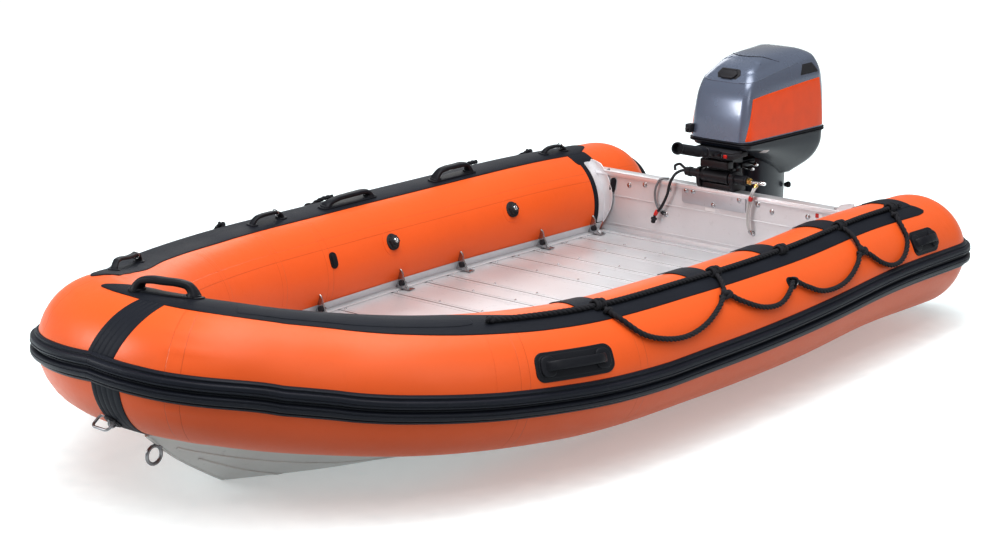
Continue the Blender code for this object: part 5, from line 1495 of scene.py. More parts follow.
@dataclass
class Deck:
    """Folded alloy planks with their fasteners, edge rails and gussets."""

    top: float = 0.22
    joints: tuple[float, ...] = (-1.17, -0.92, -0.67, -0.42, -0.175, 0.157, 0.372, 0.514, 0.793, 0.938,
                                 1.08, 1.267, 1.4, 1.5815)
    gap: float = 0.013
    gussets: tuple[float, ...] = (-0.285, 0.217, 0.605, 1.133, 1.49)
    plank_depth: float = 0.011
    bead_in: float = 0.018
    bead_half: float = 0.004
    # Half-width of the black strip of painted shade under each joint.
    shade_strip_half: float = 0.0068
    fastener_shares: Point = (0.0, 0.33, 0.66)
    rail_height: float = 0.042
    rail_width: float = 0.04

    def build(self) -> None:
        """Lay the deck."""
        planks = [self.plank(a + 0.5 * self.gap, b - 0.5 * self.gap)
                  for a, b in zip(self.joints, self.joints[1:])]
        nodes = ["deck_fore", "deck_middle", "deck_inner", "deck_aft"]
        dress(Bench.join(planks, "deck_planks"), DECK_ALLOY, nodes=nodes, smooth=20.0)
        low, high = self.joints[0] + 0.004, self.joints[-1] - 0.001
        bearers = self.outline(low, high, 12, 0.006)
        # A black bed under the planks and a black strip under each joint: painted shade, so the gaps
        # between the planks read dark.
        shade_bed = Bench.plate("deck_bed", bearers, self.top - 0.0215, self.top - 0.013, 2, 0.0)
        shade_strips, edges = [], []
        for y in self.joints[1:-1]:
            reach = inner_wall(y, self.top) - 0.05
            shade_strips.append(Bench.block("strip", (-reach, y - self.shade_strip_half, self.top - 0.016),
                                      (reach, y + self.shade_strip_half, self.top - 0.002), 0.0))
            # A rod along each plank's edge: a rolled edge, with a lighter finish that paints a highlight
            # line.
            edge = [(x, y - 0.0058, self.top - 0.0012) for x in (-reach, 0.0, reach)]
            edges.append(Bench.hose("edge", edge, 0.0019, 8))
        dress(Bench.join([shade_bed, *shade_strips], "deck_bed"), BLACK_PAINT)
        dress(Bench.join(edges, "deck_edges"), STEEL_CAP)
        fasteners = []
        for y in self.joints[1:-1]:
            wall = inner_wall(y, self.top)
            for sign in (-1.0, 1.0):
                for share in self.fastener_shares:
                    x = sign * (wall - 0.055 - share * wall)
                    fasteners.append(bolt((x, y + 0.024, self.top), UP, 0.0052, True))
        dress(Bench.join(fasteners, "deck_fasteners"), STEEL)
        for side, sign in SIGNS:
            self.rail(side, sign)

    def outline(self, low: float, high: float, cells: int, inset: float = 0.0) -> list[Pair]:
        """Plan of a panel between two stations, as wide as the collar leaves."""
        places = [low + (high - low) * k / cells for k in range(cells + 1)]
        port = [(inner_wall(y, self.top - 0.006) - inset, y) for y in places]
        return port + [(-x, y) for x, y in port[::-1]]

    def plank(self, low: float, high: float) -> Piece:
        """Fold one plank: a flat top with a shallow bead along both edges."""
        plank = Bench.plate("plank", self.outline(low, high, 4), self.top - self.plank_depth,
                            self.top - 0.0006, 2, 0.0022)
        width = inner_wall(0.5 * (low + high), self.top) - 0.052
        beads = []
        for y in (low + self.bead_in, high - self.bead_in):
            beads.append(Bench.block("bead", (-width, y - self.bead_half, self.top - 0.0012),
                                     (width, y + self.bead_half, self.top + 0.0008), 0.0008))
        return Bench.join([plank, *beads], "plank")

    def rail(self, side: str, sign: float) -> None:
        """Run an angle rail along the deck's edge and stand its gussets on it."""
        foot = self.top + 0.0003
        rings = []
        for y in np.linspace(1.572, -1.06, 90):
            floor = inner_wall(y, foot) - 0.001
            wall = inner_wall(y, foot + self.rail_height) - 0.001
            lean = (wall - floor) / self.rail_height
            inner = floor - self.rail_width
            profile = [(inner, 0.0), (inner, 0.003), (inner + 0.004, 0.0046), (inner + 0.01, 0.0034),
                       (floor - 0.014, 0.0034), (floor - 0.007, 0.006), (floor - 0.004 + 0.02 * lean, 0.02),
                       (floor - 0.0045 + 0.038 * lean, 0.038), (wall - 0.003, self.rail_height),
                       (wall, self.rail_height - 0.001), (floor, 0.0)]
            rings.append([(sign * x, y, foot + z) for x, z in profile])
        dress(loft(f"edge_rail_{side}", rings), PLATE_ALLOY, nodes=[f"deck_rail_{side}"], smooth=28.0)
        plates, knobs, bolts = [], [], []
        for y in self.gussets:
            wall = inner_wall(y, foot + 0.03)
            back = [(inner_wall(y, foot + z) + 0.002, z) for z in (0.004, 0.024, 0.044, 0.064, 0.082)]
            front = [(wall - 0.018, 0.086), (wall - 0.026, 0.08), (wall - 0.036, 0.05),
                     (wall - 0.052, 0.022), (wall - 0.066, 0.01), (wall - 0.068, 0.003)]
            spots = [(sign * x, foot + z) for x, z in back + front]
            plates.append(Bench.plate("fin", spots, y - 0.0022, y + 0.0022, 1, 0.0012))
            rim = [Vector((sign * x, y, foot + z)) for x, z in front[:-1]]
            plates.append(Bench.hose("rim", even_line(rim, 0.006), 0.0042, 10))
            xs = sorted((sign * (wall - 0.07), sign * (wall - 0.004)))
            plates.append(Bench.block("shoe", (xs[0], y - 0.002, foot + 0.003),
                                      (xs[1], y + 0.036, foot + 0.0064), 0.001))
            spot = (sign * (wall - 0.03), y - 0.004, foot + 0.03)
            knob = [(-0.01, 0.006), (-0.008, 0.0125), (0.012, 0.0125), (0.015, 0.009), (0.022, 0.007)]
            knobs.append(Bench.turned("knob", knob, spot, (0.0, 1.0, -0.15), 18))
            bolts.append(bolt((sign * (wall - 0.044), y + 0.018, foot + 0.006), UP, 0.007))
        dress(Bench.join(plates, f"gussets_{side}"), STEEL)
        dress(Bench.join(knobs, f"gusset_knobs_{side}"), BLACK_PLASTIC)
        dress(Bench.join(bolts, f"gusset_bolts_{side}"), STEEL)


@dataclass
class Transom:
    """Transom with its cap channel, pad plate, bolts and the knees against the collar."""

    thickness: float = 0.045
    top: float = 0.5
    cap_half: float = 0.668
    pad: tuple[float, float, float, float] = (-0.182, 0.16, 0.421, 0.4955)
    flange: tuple[Pair, ...] = (
        (126.0, 0.02), (130.0, 0.032), (137.0, 0.05), (150.0, 0.055), (162.0, 0.056), (172.0, 0.05),
        (181.0, 0.038), (190.0, 0.02), (197.0, 0.01),
    )
    bolts: tuple[Pair, ...] = (
        (-0.392, 0.469), (-0.255, 0.47), (-0.158, 0.48), (-0.12, 0.481), (-0.01, 0.433), (0.127, 0.477),
        (0.222, 0.469), (0.296, 0.448), (-0.271, 0.349), (0.201, 0.336), (0.48, 0.455), (-0.48, 0.455),
    )

    def build(self) -> None:
        """Finish the transom."""
        wear(PLATE_ALLOY, "transom")
        back = TRANSOM_FRONT + self.thickness
        low, high = self.top + 0.0003, self.top + 0.0073
        cap = Bench.block("cap", (-self.cap_half, TRANSOM_FRONT - 0.008, low),
                          (self.cap_half, back + 0.008, high), 0.0022, 3)
        lips = [Bench.block("lip", (-self.cap_half, y0, low - 0.014), (self.cap_half, y1, low + 0.001),
                            0.0008)
                for y0, y1 in ((TRANSOM_FRONT - 0.008, TRANSOM_FRONT - 0.0055),
                               (back + 0.0055, back + 0.008))]
        dress(Bench.join([cap, *lips], "cap_channel"), STEEL_CAP, nodes=["transom_cap"])
        x0, x1, z0, z1 = self.pad
        corners = rounded_box(x0, x1, z0, z1, 0.016)
        pad = Bench.plate("pad_plate", corners, TRANSOM_FRONT - 0.0063, TRANSOM_FRONT - 0.0003, 1, 0.0012)
        dress(pad, PAD_ALLOY, nodes=["transom_pad"])
        y = TRANSOM_FRONT - 0.0002
        heads = []
        for x, z in self.bolts:
            seat = y - 0.006 if x0 < x < x1 and z > z0 else y
            heads.append(bolt((x, seat, z), FORE, 0.012, True))
        for x in (-0.61, 0.61):
            heads.append(bolt((x, TRANSOM_FRONT + 0.012, high), UP, 0.0085))
        for x in np.linspace(-0.5, 0.5, 6):
            heads.append(bolt((x, back, 0.3), AFT, 0.009))
        dress(Bench.join(heads, "transom_bolts"), STEEL)
        labels = (("blank_film", WHITE_FILM, (-0.057, -0.003, 0.401, 0.417)),
                  ("blank_badge", WHITE_FILM, (0.535, 0.552, 0.458, 0.477)),
                  ("red_badge", RED_PLASTIC, (0.518, 0.5345, 0.458, 0.477)))
        for name, finish, edges in labels:
            corners = rounded_box(*edges, 0.002)
            dress(Bench.plate(name, corners, TRANSOM_FRONT - 0.0012, TRANSOM_FRONT - 0.0001, 1, 0.0003),
                  finish)
        fold = [Bench.block("fold", (-0.66, TRANSOM_FRONT - 0.003, z - 0.003),
                            (0.66, TRANSOM_FRONT - 0.0001, z + 0.003), 0.0013)
                for z in (0.395, 0.262)]
        angle = Bench.block("angle", (-0.63, TRANSOM_FRONT - 0.03, 0.2204),
                            (0.63, TRANSOM_FRONT - 0.0002, 0.2244), 0.001)
        upright = Bench.block("upright", (-0.63, TRANSOM_FRONT - 0.004, 0.221),
                              (0.63, TRANSOM_FRONT - 0.0002, 0.248), 0.001)
        dress(Bench.join([*fold, angle, upright], "transom_folds"), PLATE_ALLOY)
        leaf = round_corners(((-0.592, 0.412), (-0.562, 0.41), (-0.553, 0.47), (-0.577, 0.486)), 0.012)
        dress(Bench.plate("drain_flap", leaf, TRANSOM_FRONT - 0.01, TRANSOM_FRONT - 0.0002, 1, 0.003),
              MOULDED)
        for side, port in SIDES:
            self.knee(side, port)

    def knee(self, side: str, port: bool) -> None:
        """Bend the flange and its leg round the collar, over a dark gasket."""
        def place(s: float) -> float:
            """Arc length on this side."""
            return COLLAR.side(s, port)

        def strip(name: str, s0: float, s1: float, low: float, high: float, *sizes: float) -> Piece:
            """A strip round the collar between two stations."""
            rows = sorted(((place(s0), low, high), (place(s1), low, high)))
            return Pad(name, rows, *sizes).build()

        gasket = strip("gasket", 0.3035, 0.372, 116.0, 204.0, 0.0024, 0.018, 0.0, 0.003, 0.006)
        top = strip("top", 0.262, 0.392, 104.0, 128.0, 0.0024, 0.03)
        dress(Bench.join([gasket, top], f"knee_gasket_{side}"), BAND_RUBBER)
        leg = strip("leg", 0.3045, 0.345, 125.0, 197.0, 0.0036, 0.01, 0.0022, 0.002, 0.006)
        rings = []
        for degrees in np.arange(126.0, 197.5, 1.5):
            width = float(np.interp(degrees, *zip(*self.flange)))
            spots = ((0.303, 0.001), (0.303, width), (0.3045, width + 0.001), (0.307, width),
                     (0.307, 0.001))
            rings.append([COLLAR.point(place(s), degrees, height) for s, height in spots])
        rim = [COLLAR.point(place(0.3055), degrees, float(np.interp(degrees, *zip(*self.flange))))
               for degrees in np.arange(126.0, 197.5, 1.5)]
        edge = Bench.hose("edge", rim, 0.003, 10)
        dress(Bench.join([leg, loft("flange", rings), edge], f"knee_plate_{side}"), KNEE_ALLOY,
              nodes=[f"knee_{side}"], smooth=28.0)


def round_corners(corners: Sequence[Pair], radius: float, steps: int = 5) -> list[Pair]:
    """Round the corners of a convex outline with arcs."""
    points = []
    for i, corner in enumerate(corners):
        here = Vector(corner)
        before = (Vector(corners[i - 1]) - here).normalized()
        after = (Vector(corners[(i + 1) % len(corners)]) - here).normalized()
        half = 0.5 * before.angle(after)
        centre = here + (before + after).normalized() * (radius / math.sin(half))
        first = here + before * (radius / math.tan(half)) - centre
        last = here + after * (radius / math.tan(half)) - centre
        sweep = -first.angle_signed(last)
        points += [tuple(centre + Matrix.Rotation(sweep * k / steps, 2) @ first) for k in range(steps + 1)]
    return points


def rounded_box(x0: float, x1: float, z0: float, z1: float, radius: float, steps: int = 5) -> list[Pair]:
    """A rounded rectangle between two limits on each axis."""
    return round_corners(((x0, z0), (x1, z0), (x1, z1), (x0, z1)), radius, steps)


def wear(finish: Finish, *nodes: str) -> None:
    """Give nodes that stay in view their finish."""
    for node in nodes:
        for slot in bpy.data.objects[node].material_slots:
            slot.material = finish.material()


@dataclass
class Lead:
    """A thin lead on one smooth route with its fittings."""

    name: str
    node: str
    route: Sequence[Point]
    radius: float
    finish: Finish
    far_end: str = "object"
    fittings: Sequence[tuple[float, Sequence[Pair], Finish]] = ()
    spread: float = 0.0

    def build(self) -> None:
        line = even_line(self.route, 0.004)
        steps = [0.0]
        for before, after in zip(line, line[1:]):
            steps.append(steps[-1] + (after - before).length)
        length = steps[-1]
        shifts = (-self.spread, self.spread) if self.spread else (0.0,)
        runs = [Bench.hose("run", [p + Vector((shift, 0.0, 0.0)) for p in line],
                           self.radius - self.spread / 3, 14)
                for shift in shifts]
        lead = Bench.join(runs, self.name)
        dress(lead, self.finish, nodes=[self.node], smooth=50.0)
        for number, (share, profile, finish) in enumerate(self.fittings):
            k = min(int(np.searchsorted(steps, share * length)), len(line) - 2)
            fitting = Bench.turned(f"{self.name}_fitting_{number}", profile, line[k], line[k + 1] - line[k],
                                   24)
            dress(fitting, finish)
        LOG.info("%s is %.3f m", self.name, length)


@dataclass
class Leads:
    """The three leads between the outboard's mounting and the boat."""

    crown: float = 0.5131

    def build(self) -> None:
        """Run all three."""
        inner = TRANSOM_FRONT - 0.016
        y, z = TILT_AXIS
        grey = [(-0.275, TRANSOM_FRONT + 0.02, self.crown), (-0.292, TRANSOM_FRONT - 0.0085, self.crown),
                (-0.3, TRANSOM_FRONT - 0.0145, self.crown - 0.0033), (-0.304, inner, self.crown - 0.01),
                (-0.318, inner - 0.003, 0.47), (-0.325, inner + 0.003, 0.42),
                (-0.3, inner + 0.006, 0.366), (-0.272, inner + 0.008, 0.35)]
        black = [(-0.1653, y, z), (-0.182, y, z), (-0.206, y - 0.023, z - 0.014),
                 (-0.222, inner - 0.02, 0.52), (-0.245, inner - 0.016, 0.45), (-0.28, inner - 0.014, 0.385),
                 (-0.312, inner - 0.014, 0.345), (-0.318, inner - 0.014, 0.325)]
        twin = [(0.215, y - 0.007, z - 0.007), (0.2145, y - 0.034, z - 0.034), (0.196, inner - 0.01, 0.48),
                (0.186, inner - 0.008, 0.42), (0.192, inner - 0.006, 0.365), (0.202, inner, 0.338)]
        ferrule = [(-0.008, 0.0064), (-0.006, 0.0078), (0.004, 0.0078), (0.006, 0.0064)]
        Lead("grey_lead", "lead_grey", grey, 0.005, GREY_RUBBER,
             fittings=[(0.94, ferrule, BLACK_PLASTIC)]).build()
        sleeve = [(-0.02, 0.0072), (-0.018, 0.0088), (0.004, 0.0088), (0.005, 0.0076)]
        cap = [(0.0, 0.008), (0.001, 0.0135), (0.007, 0.014), (0.009, 0.0112), (0.011, 0.0105),
               (0.022, 0.0098), (0.025, 0.008)]
        Lead("black_lead", "lead_black", black, 0.0065, BLACK_PLASTIC, "connector",
             [(0.9, sleeve, RED_PLASTIC), (0.97, cap, BLACK_PLASTIC)]).build()
        nut = [(-0.008, 0.01), (0.0, 0.0104), (0.002, 0.0085), (0.01, 0.008)]
        band = [(-0.01, 0.0092), (-0.009, 0.01), (0.009, 0.01), (0.01, 0.0092)]
        Lead("pale_lead", "lead_twin", twin, 0.006, PALE_PLASTIC,
             fittings=[(0.04, nut, BRASS), (0.3, band, RED_PLASTIC), (0.95, nut, STEEL)],
             spread=0.0045).build()


@dataclass
class Shell:
    """A cowl's outer skin: places on it by station, level and lift.

    The levels are numbered by their keys. Each holds the front and back height, front and back
    station, front and back half-width and the two corner radii. The unit is the length in metres
    of one step of the level, as pads on the skin need it.
    """

    keys: tuple[float, ...]
    levels: tuple[tuple[float, ...], ...]
    unit: float = 1.0
    side: float = 1.0
    lean: Point = (0.0, 0.0, 0.0)

    def __post_init__(self) -> None:
        """Smooth each measure over the levels."""
        spans = [6] * (len(self.keys) - 1)
        self.tables = []
        for column in zip(*self.levels):
            line = smooth_line([(key, value, 0.0) for key, value in zip(self.keys, column)], spans)
            self.tables.append(([p.x for p in line], [p.y for p in line]))

    def plan(self, v: float) -> list[float]:
        """The eight measures at a level."""
        return [float(np.interp(v, keys, values)) for keys, values in self.tables]

    def half_width(self, y: float, v: float) -> float:
        """Half-width at a station and level."""
        _, _, front, back, front_half, back_half, front_radius, back_radius = self.plan(v)
        width = front_half + (back_half - front_half) * (y - front) / (back - front)
        for reach, radius in ((y - front, front_radius), (back - y, back_radius)):
            if reach < radius:
                width -= radius - math.sqrt(max(0.0, radius**2 - (radius - max(reach, 0.0)) ** 2))
        return max(width, 0.0)

    def height(self, y: float, v: float) -> float:
        """Height of a level at a station."""
        front_z, back_z, front, back = self.plan(v)[:4]
        return front_z + (back_z - front_z) * (y - front) / (back - front)

    def point(self, y: float, v: float, lift: float) -> Vector:
        """A place over the skin; higher up, the lean moves it aft at the front and back at the rear."""
        d = 0.002
        base, front_lean, change = self.lean
        y += (v - base) * (front_lean - change * (y - self.levels[0][2]))
        here = Vector((self.half_width(y, v), y, self.height(y, v)))
        ahead = Vector((self.half_width(y + d, v), y + d, self.height(y + d, v)))
        above = Vector((self.half_width(y, v + d), y, self.height(y, v + d)))
        normal = (ahead - here).cross(above - here)
        if normal.x < 0.0:
            normal.negate()
        spot = here + lift * normal.normalized()
        return Vector((self.side * spot.x, spot.y, spot.z))

    def ring(self, v: float, grow: float = 0.0, bulge: float = 0.004) -> list[Vector]:
        """One closed ring of the skin."""
        _, _, front, back, front_half, back_half, front_radius, back_radius = self.plan(v)
        front, back = front - grow, back + grow
        front_half, back_half = front_half + grow, back_half + grow
        front_radius, back_radius = front_radius + grow, back_radius + grow
        spots = []
        for k in range(9):
            a = 0.5 * math.pi * k / 8
            spots.append((front_radius * (math.sin(a) - 1.0), front + front_radius * (1.0 - math.cos(a))))
        straight = back - back_radius - front - front_radius
        spots += [(0.0, front + front_radius + straight * k / 9) for k in range(1, 9)]
        for k in range(9):
            a = 0.5 * math.pi * k / 8
            spots.append((back_radius * (math.cos(a) - 1.0), back - back_radius * (1.0 - math.sin(a))))
        port = []
        for inset, y in spots:
            width = front_half + (back_half - front_half) * (y - front) / (back - front)
            port.append((width + inset, y))
        flat_back = [(port[-1][0] * (1.0 - k / 3), back + bulge * (1.0 - (1.0 - k / 3) ** 2))
                     for k in range(1, 4)]
        flat_front = [(port[0][0] * k / 3, front - bulge * (1.0 - (k / 3) ** 2)) for k in range(3)]
        half = flat_front + port + flat_back
        outline = half + [(-x, y) for x, y in half[-2:0:-1]]
        return [Vector((x, y, self.height(y, v))) for x, y in outline]


COWL_KEYS = (0.732, 0.86, 0.94, 0.985, 1.03, 1.065, 1.085, 1.094)
COWL_LEVELS = tuple((key, key, *rest) for key, rest in zip(COWL_KEYS, (
    (1.575, 2.185, 0.15, 0.198, 0.04, 0.07), (1.59, 2.183, 0.146, 0.195, 0.038, 0.07),
    (1.61, 2.177, 0.14, 0.191, 0.036, 0.07), (1.634, 2.167, 0.133, 0.186, 0.036, 0.065),
    (1.67, 2.151, 0.119, 0.172, 0.04, 0.06), (1.728, 2.126, 0.098, 0.15, 0.045, 0.05),
    (1.792, 2.088, 0.072, 0.116, 0.04, 0.045), (1.85, 2.025, 0.045, 0.072, 0.03, 0.035))))
PAN_LEVELS = (
    (0.716, 0.716, 1.577, 2.185, 0.148, 0.196, 0.053, 0.068),
    (0.7, 0.642, 1.585, 2.184, 0.14, 0.188, 0.05, 0.07),
    (0.694, 0.572, 1.605, 2.158, 0.115, 0.155, 0.045, 0.07),
    (0.69, 0.503, 1.632, 2.1, 0.072, 0.072, 0.04, 0.05),
)


@dataclass
class Cowling:
    """The outboard's upper and lower cowl with their seal, panels, latch and intakes."""

    crease_low: float = 0.985
    crease_rise: float = 0.146
    crease_depth: float = 0.013
    crease_slope: float = 0.42
    seam: tuple[Pair, ...] = (
        (0.0, 1.772), (0.035, 1.778), (0.07, 1.8), (0.098, 1.838), (0.117, 1.88),
    )
    panel_lean: Point = (0.744, 0.278, 0.724)
    panel_rows: Rows = ((1.59, 0.7385, 0.921), (1.7, 0.7385, 0.931), (2.0, 0.7385, 0.952),
                        (2.142, 0.74, 0.96))
    cap_lift: float = 0.0004

    def build(self) -> None:
        """Model the cowling."""
        self.skin = Shell(COWL_KEYS, COWL_LEVELS)
        self.upper()
        self.crease()
        self.cap_seam()
        self.seal()
        wear(ENGINE_METAL, "powerhead")
        for side, sign in SIGNS:
            self.panel(side, Shell(COWL_KEYS, COWL_LEVELS, side=sign, lean=self.panel_lean))
            self.intake(side, Shell(COWL_KEYS, COWL_LEVELS, side=sign))
        self.latch()
        self.lower()

    def inset(self, spot: Vector) -> float:
        """How far the skin leans in above its crease."""
        line = self.crease_low + self.crease_rise * (spot.y - 1.61)
        return min(max((spot.z - line) * self.crease_slope, 0.0), self.crease_depth)

    def upper(self) -> None:
        """Skin the upper cowl with its crease."""
        heights = [0.732, 0.7335, 0.736] + list(np.linspace(0.745, 0.96, 14))
        heights += list(np.linspace(0.9665, 1.06, 30)) + [1.066, 1.072, 1.078, 1.083, 1.088, 1.091, 1.094]
        rings = []
        for number, z in enumerate(heights):
            ring_points = self.skin.ring(z, -0.002 if number == 0 else 0.0)
            for spot in ring_points:
                depth = self.inset(spot)
                spot.x -= depth * spot.x / 0.15
                spot.y += depth * 0.8 if spot.y < 1.75 else 0.0
            rings.append(ring_points)
        middle = Vector((0.0, 1.93, 1.094))
        for share, rise in ((0.75, 0.0018), (0.45, 0.0032), (0.15, 0.004)):
            source = rings[-2] if share < 0.7 else rings[-1]
            rings.append([middle + share * (spot - middle) + Vector((0.0, 0.0, rise)) for spot in source])
        cowl = loft("cowl_skin", rings)
        dress(cowl, SLATE, Body.MOTOR, ["cowl"], smooth=50.0)

    def crease(self) -> None:
        """Run a fine bead along the crease, over the front and back along both sides."""
        front, _, front_half, _, radius, _ = COWL_LEVELS[3][2:]
        flat = front_half - radius
        port = [Vector((flat * k / 3, front - 0.004 * (1.0 - (k / 3) ** 2), self.crease_low))
                for k in range(3)]
        stations = [front + radius * (1.0 - math.cos(0.5 * math.pi * k / 8)) for k in range(9)]
        stations += [float(y) for y in np.linspace(front + radius + 0.02, 1.985, 17)]
        for y in stations:
            z = self.crease_low + self.crease_rise * max(y - 1.61, 0.0)
            port.append(Vector((self.skin.half_width(y, z) - 0.0006, y, z)))
        line = [Vector((-p.x, p.y, p.z)) for p in port[:0:-1]] + port
        dress(Bench.hose("crease_bead", line, 0.0019, 10), SLATE, Body.MOTOR, smooth=60.0)

    def cap_seam(self) -> None:
        """Draw the raised rear cap's edge over the top, with a black line of painted shadow in front of it.
        """
        bpy.context.view_layer.update()
        cowl = bpy.data.objects["cowl_skin"]
        port = even_line([(x, y, 0.0) for x, y in self.seam], 0.005)
        plan = [Vector((-p.x, p.y, 0.0)) for p in port[:0:-1]] + port
        line = []
        for p in plan:
            _, spot, _, _ = cowl.ray_cast((p.x, p.y, 1.3), (0.0, 0.0, -1.0))
            line.append(spot + Vector((0.0, 0.0, self.cap_lift)))
        dress(Bench.hose("rear_cap_edge", line, 0.0026, 10), SLATE, Body.MOTOR, smooth=50.0)
        # A thin black line just in front of the cap's edge: painted shadow of its step along the seam.
        shadow = [p + Vector((0.0, -0.003, 0.0006)) for p in line]
        dress(Bench.hose("rear_cap_seam", shadow, 0.0013, 8), BLACK_PLASTIC, Body.MOTOR, smooth=50.0)

    def seal(self) -> None:
        """Model the double-lipped rubber seal."""
        lips = ((0.7163, 0.0), (0.7166, 0.004), (0.7175, 0.0056), (0.719, 0.0064), (0.7208, 0.006),
                (0.722, 0.0044), (0.7232, 0.0024), (0.7246, 0.0024), (0.7258, 0.0044), (0.727, 0.0058),
                (0.7288, 0.006), (0.7303, 0.005), (0.7314, 0.003), (0.7317, 0.0))
        rings = []
        for z, grow in lips:
            rings.append([Vector((p.x, p.y, z)) for p in self.skin.ring(0.732, 1.4 * grow, 0.0)])
        dress(loft("cowl_gasket", rings), MOULDED, Body.MOTOR, ["cowl_seal"], smooth=50.0)

    def panel(self, side: str, shell: Shell) -> None:
        """Fit a coloured side panel with a slanted front edge."""
        plate = Pad(f"side_panel_{side}", self.panel_rows, 0.0026, 0.004, 0.0002, 0.002,
                    skin=shell).build()
        dress(plate, ORANGE_FILM, Body.MOTOR, [f"cowl_panel_{side}"])

    def intake(self, side: str, shell: Shell) -> None:
        """Lay the dark intake mouth and its rim on the rear shoulder."""
        rows = ((1.984, 0.9835, 0.9875), (2.009, 0.9845, 1.029), (2.077, 0.986, 1.03),
                (2.107, 0.987, 0.992))
        rim = Pad("rim", rows, 0.0016, 0.002, -0.0004, 0.002, 0.006, skin=shell).build()
        inner = ((1.992, 0.9865, 0.99), (2.012, 0.9875, 1.025), (2.074, 0.989, 1.026), (2.098, 0.99, 0.995))
        mouth = Pad("mouth", inner, 0.0008, 0.002, 0.0014, 0.001, 0.006, skin=shell).build()
        dress(Bench.join([rim, mouth], f"intake_{side}"), BLACK_PLASTIC, Body.MOTOR)

    def latch(self) -> None:
        """Model the six-sided latch in its recess on the front slope."""
        plates = []
        for half, tall, low, high in ((0.06, 0.029, -0.014, 0.001), (0.048, 0.021, -0.004, 0.01)):
            corners = ((-half, 0.0), (0.014 - half, -tall), (half - 0.014, -tall), (half, 0.0),
                       (half - 0.014, tall), (0.014 - half, tall))
            plates.append(Bench.plate("plate", round_corners(corners, 0.005, 4), low, high, 2, 0.0022))
        lip = Bench.block("lip", (-0.03, -0.026, 0.003), (0.03, -0.015, 0.011), 0.003, 3)
        pin = [(-0.036, 0.0045), (-0.035, 0.0055), (0.035, 0.0055), (0.036, 0.0045)]
        hinge = Bench.turned("hinge", pin, (0.0, 0.018, 0.006), PORT, 16)
        piece = Bench.join([*plates, lip, hinge], "latch_lever")
        Bench.settle(piece)
        slope = Matrix.Translation((0.0, 1.659, 1.016)) @ Matrix.Rotation(math.radians(50.0), 4, "X")
        piece.data.transform(slope)
        dress(piece, BLACK_PLASTIC, Body.MOTOR, ["cowl_latch"])

    def lower(self) -> None:
        """Skin the lower cowl and stick its blank label on."""
        shell = Shell((0.0, 1.0, 2.0, 3.0), PAN_LEVELS, unit=0.05)
        levels = [0.0, 0.03, 0.08] + list(np.linspace(0.16, 3.0, 22))
        rings = [shell.ring(v, -0.002 if v == 0.0 else 0.0, 0.002) for v in levels]
        rings += [[spot + 0.3 * (Vector((0.0, 1.85, spot.z)) - spot) for spot in rings[-1]]]
        rings[-1] = [spot - Vector((0.0, 0.0, 0.0003)) for spot in rings[-1]]
        dress(loft("lower_cowl_skin", rings), DARK_SLATE, Body.MOTOR, ["lower_cowl"], smooth=50.0)
        rows = ((1.729, 1.3, 2.05), (1.774, 1.25, 1.95))
        label = Pad("blank_label", rows, 0.001, 0.003, 0.0, 0.001, 0.01, skin=shell).build()
        dress(label, WHITE_FILM, Body.MOTOR)


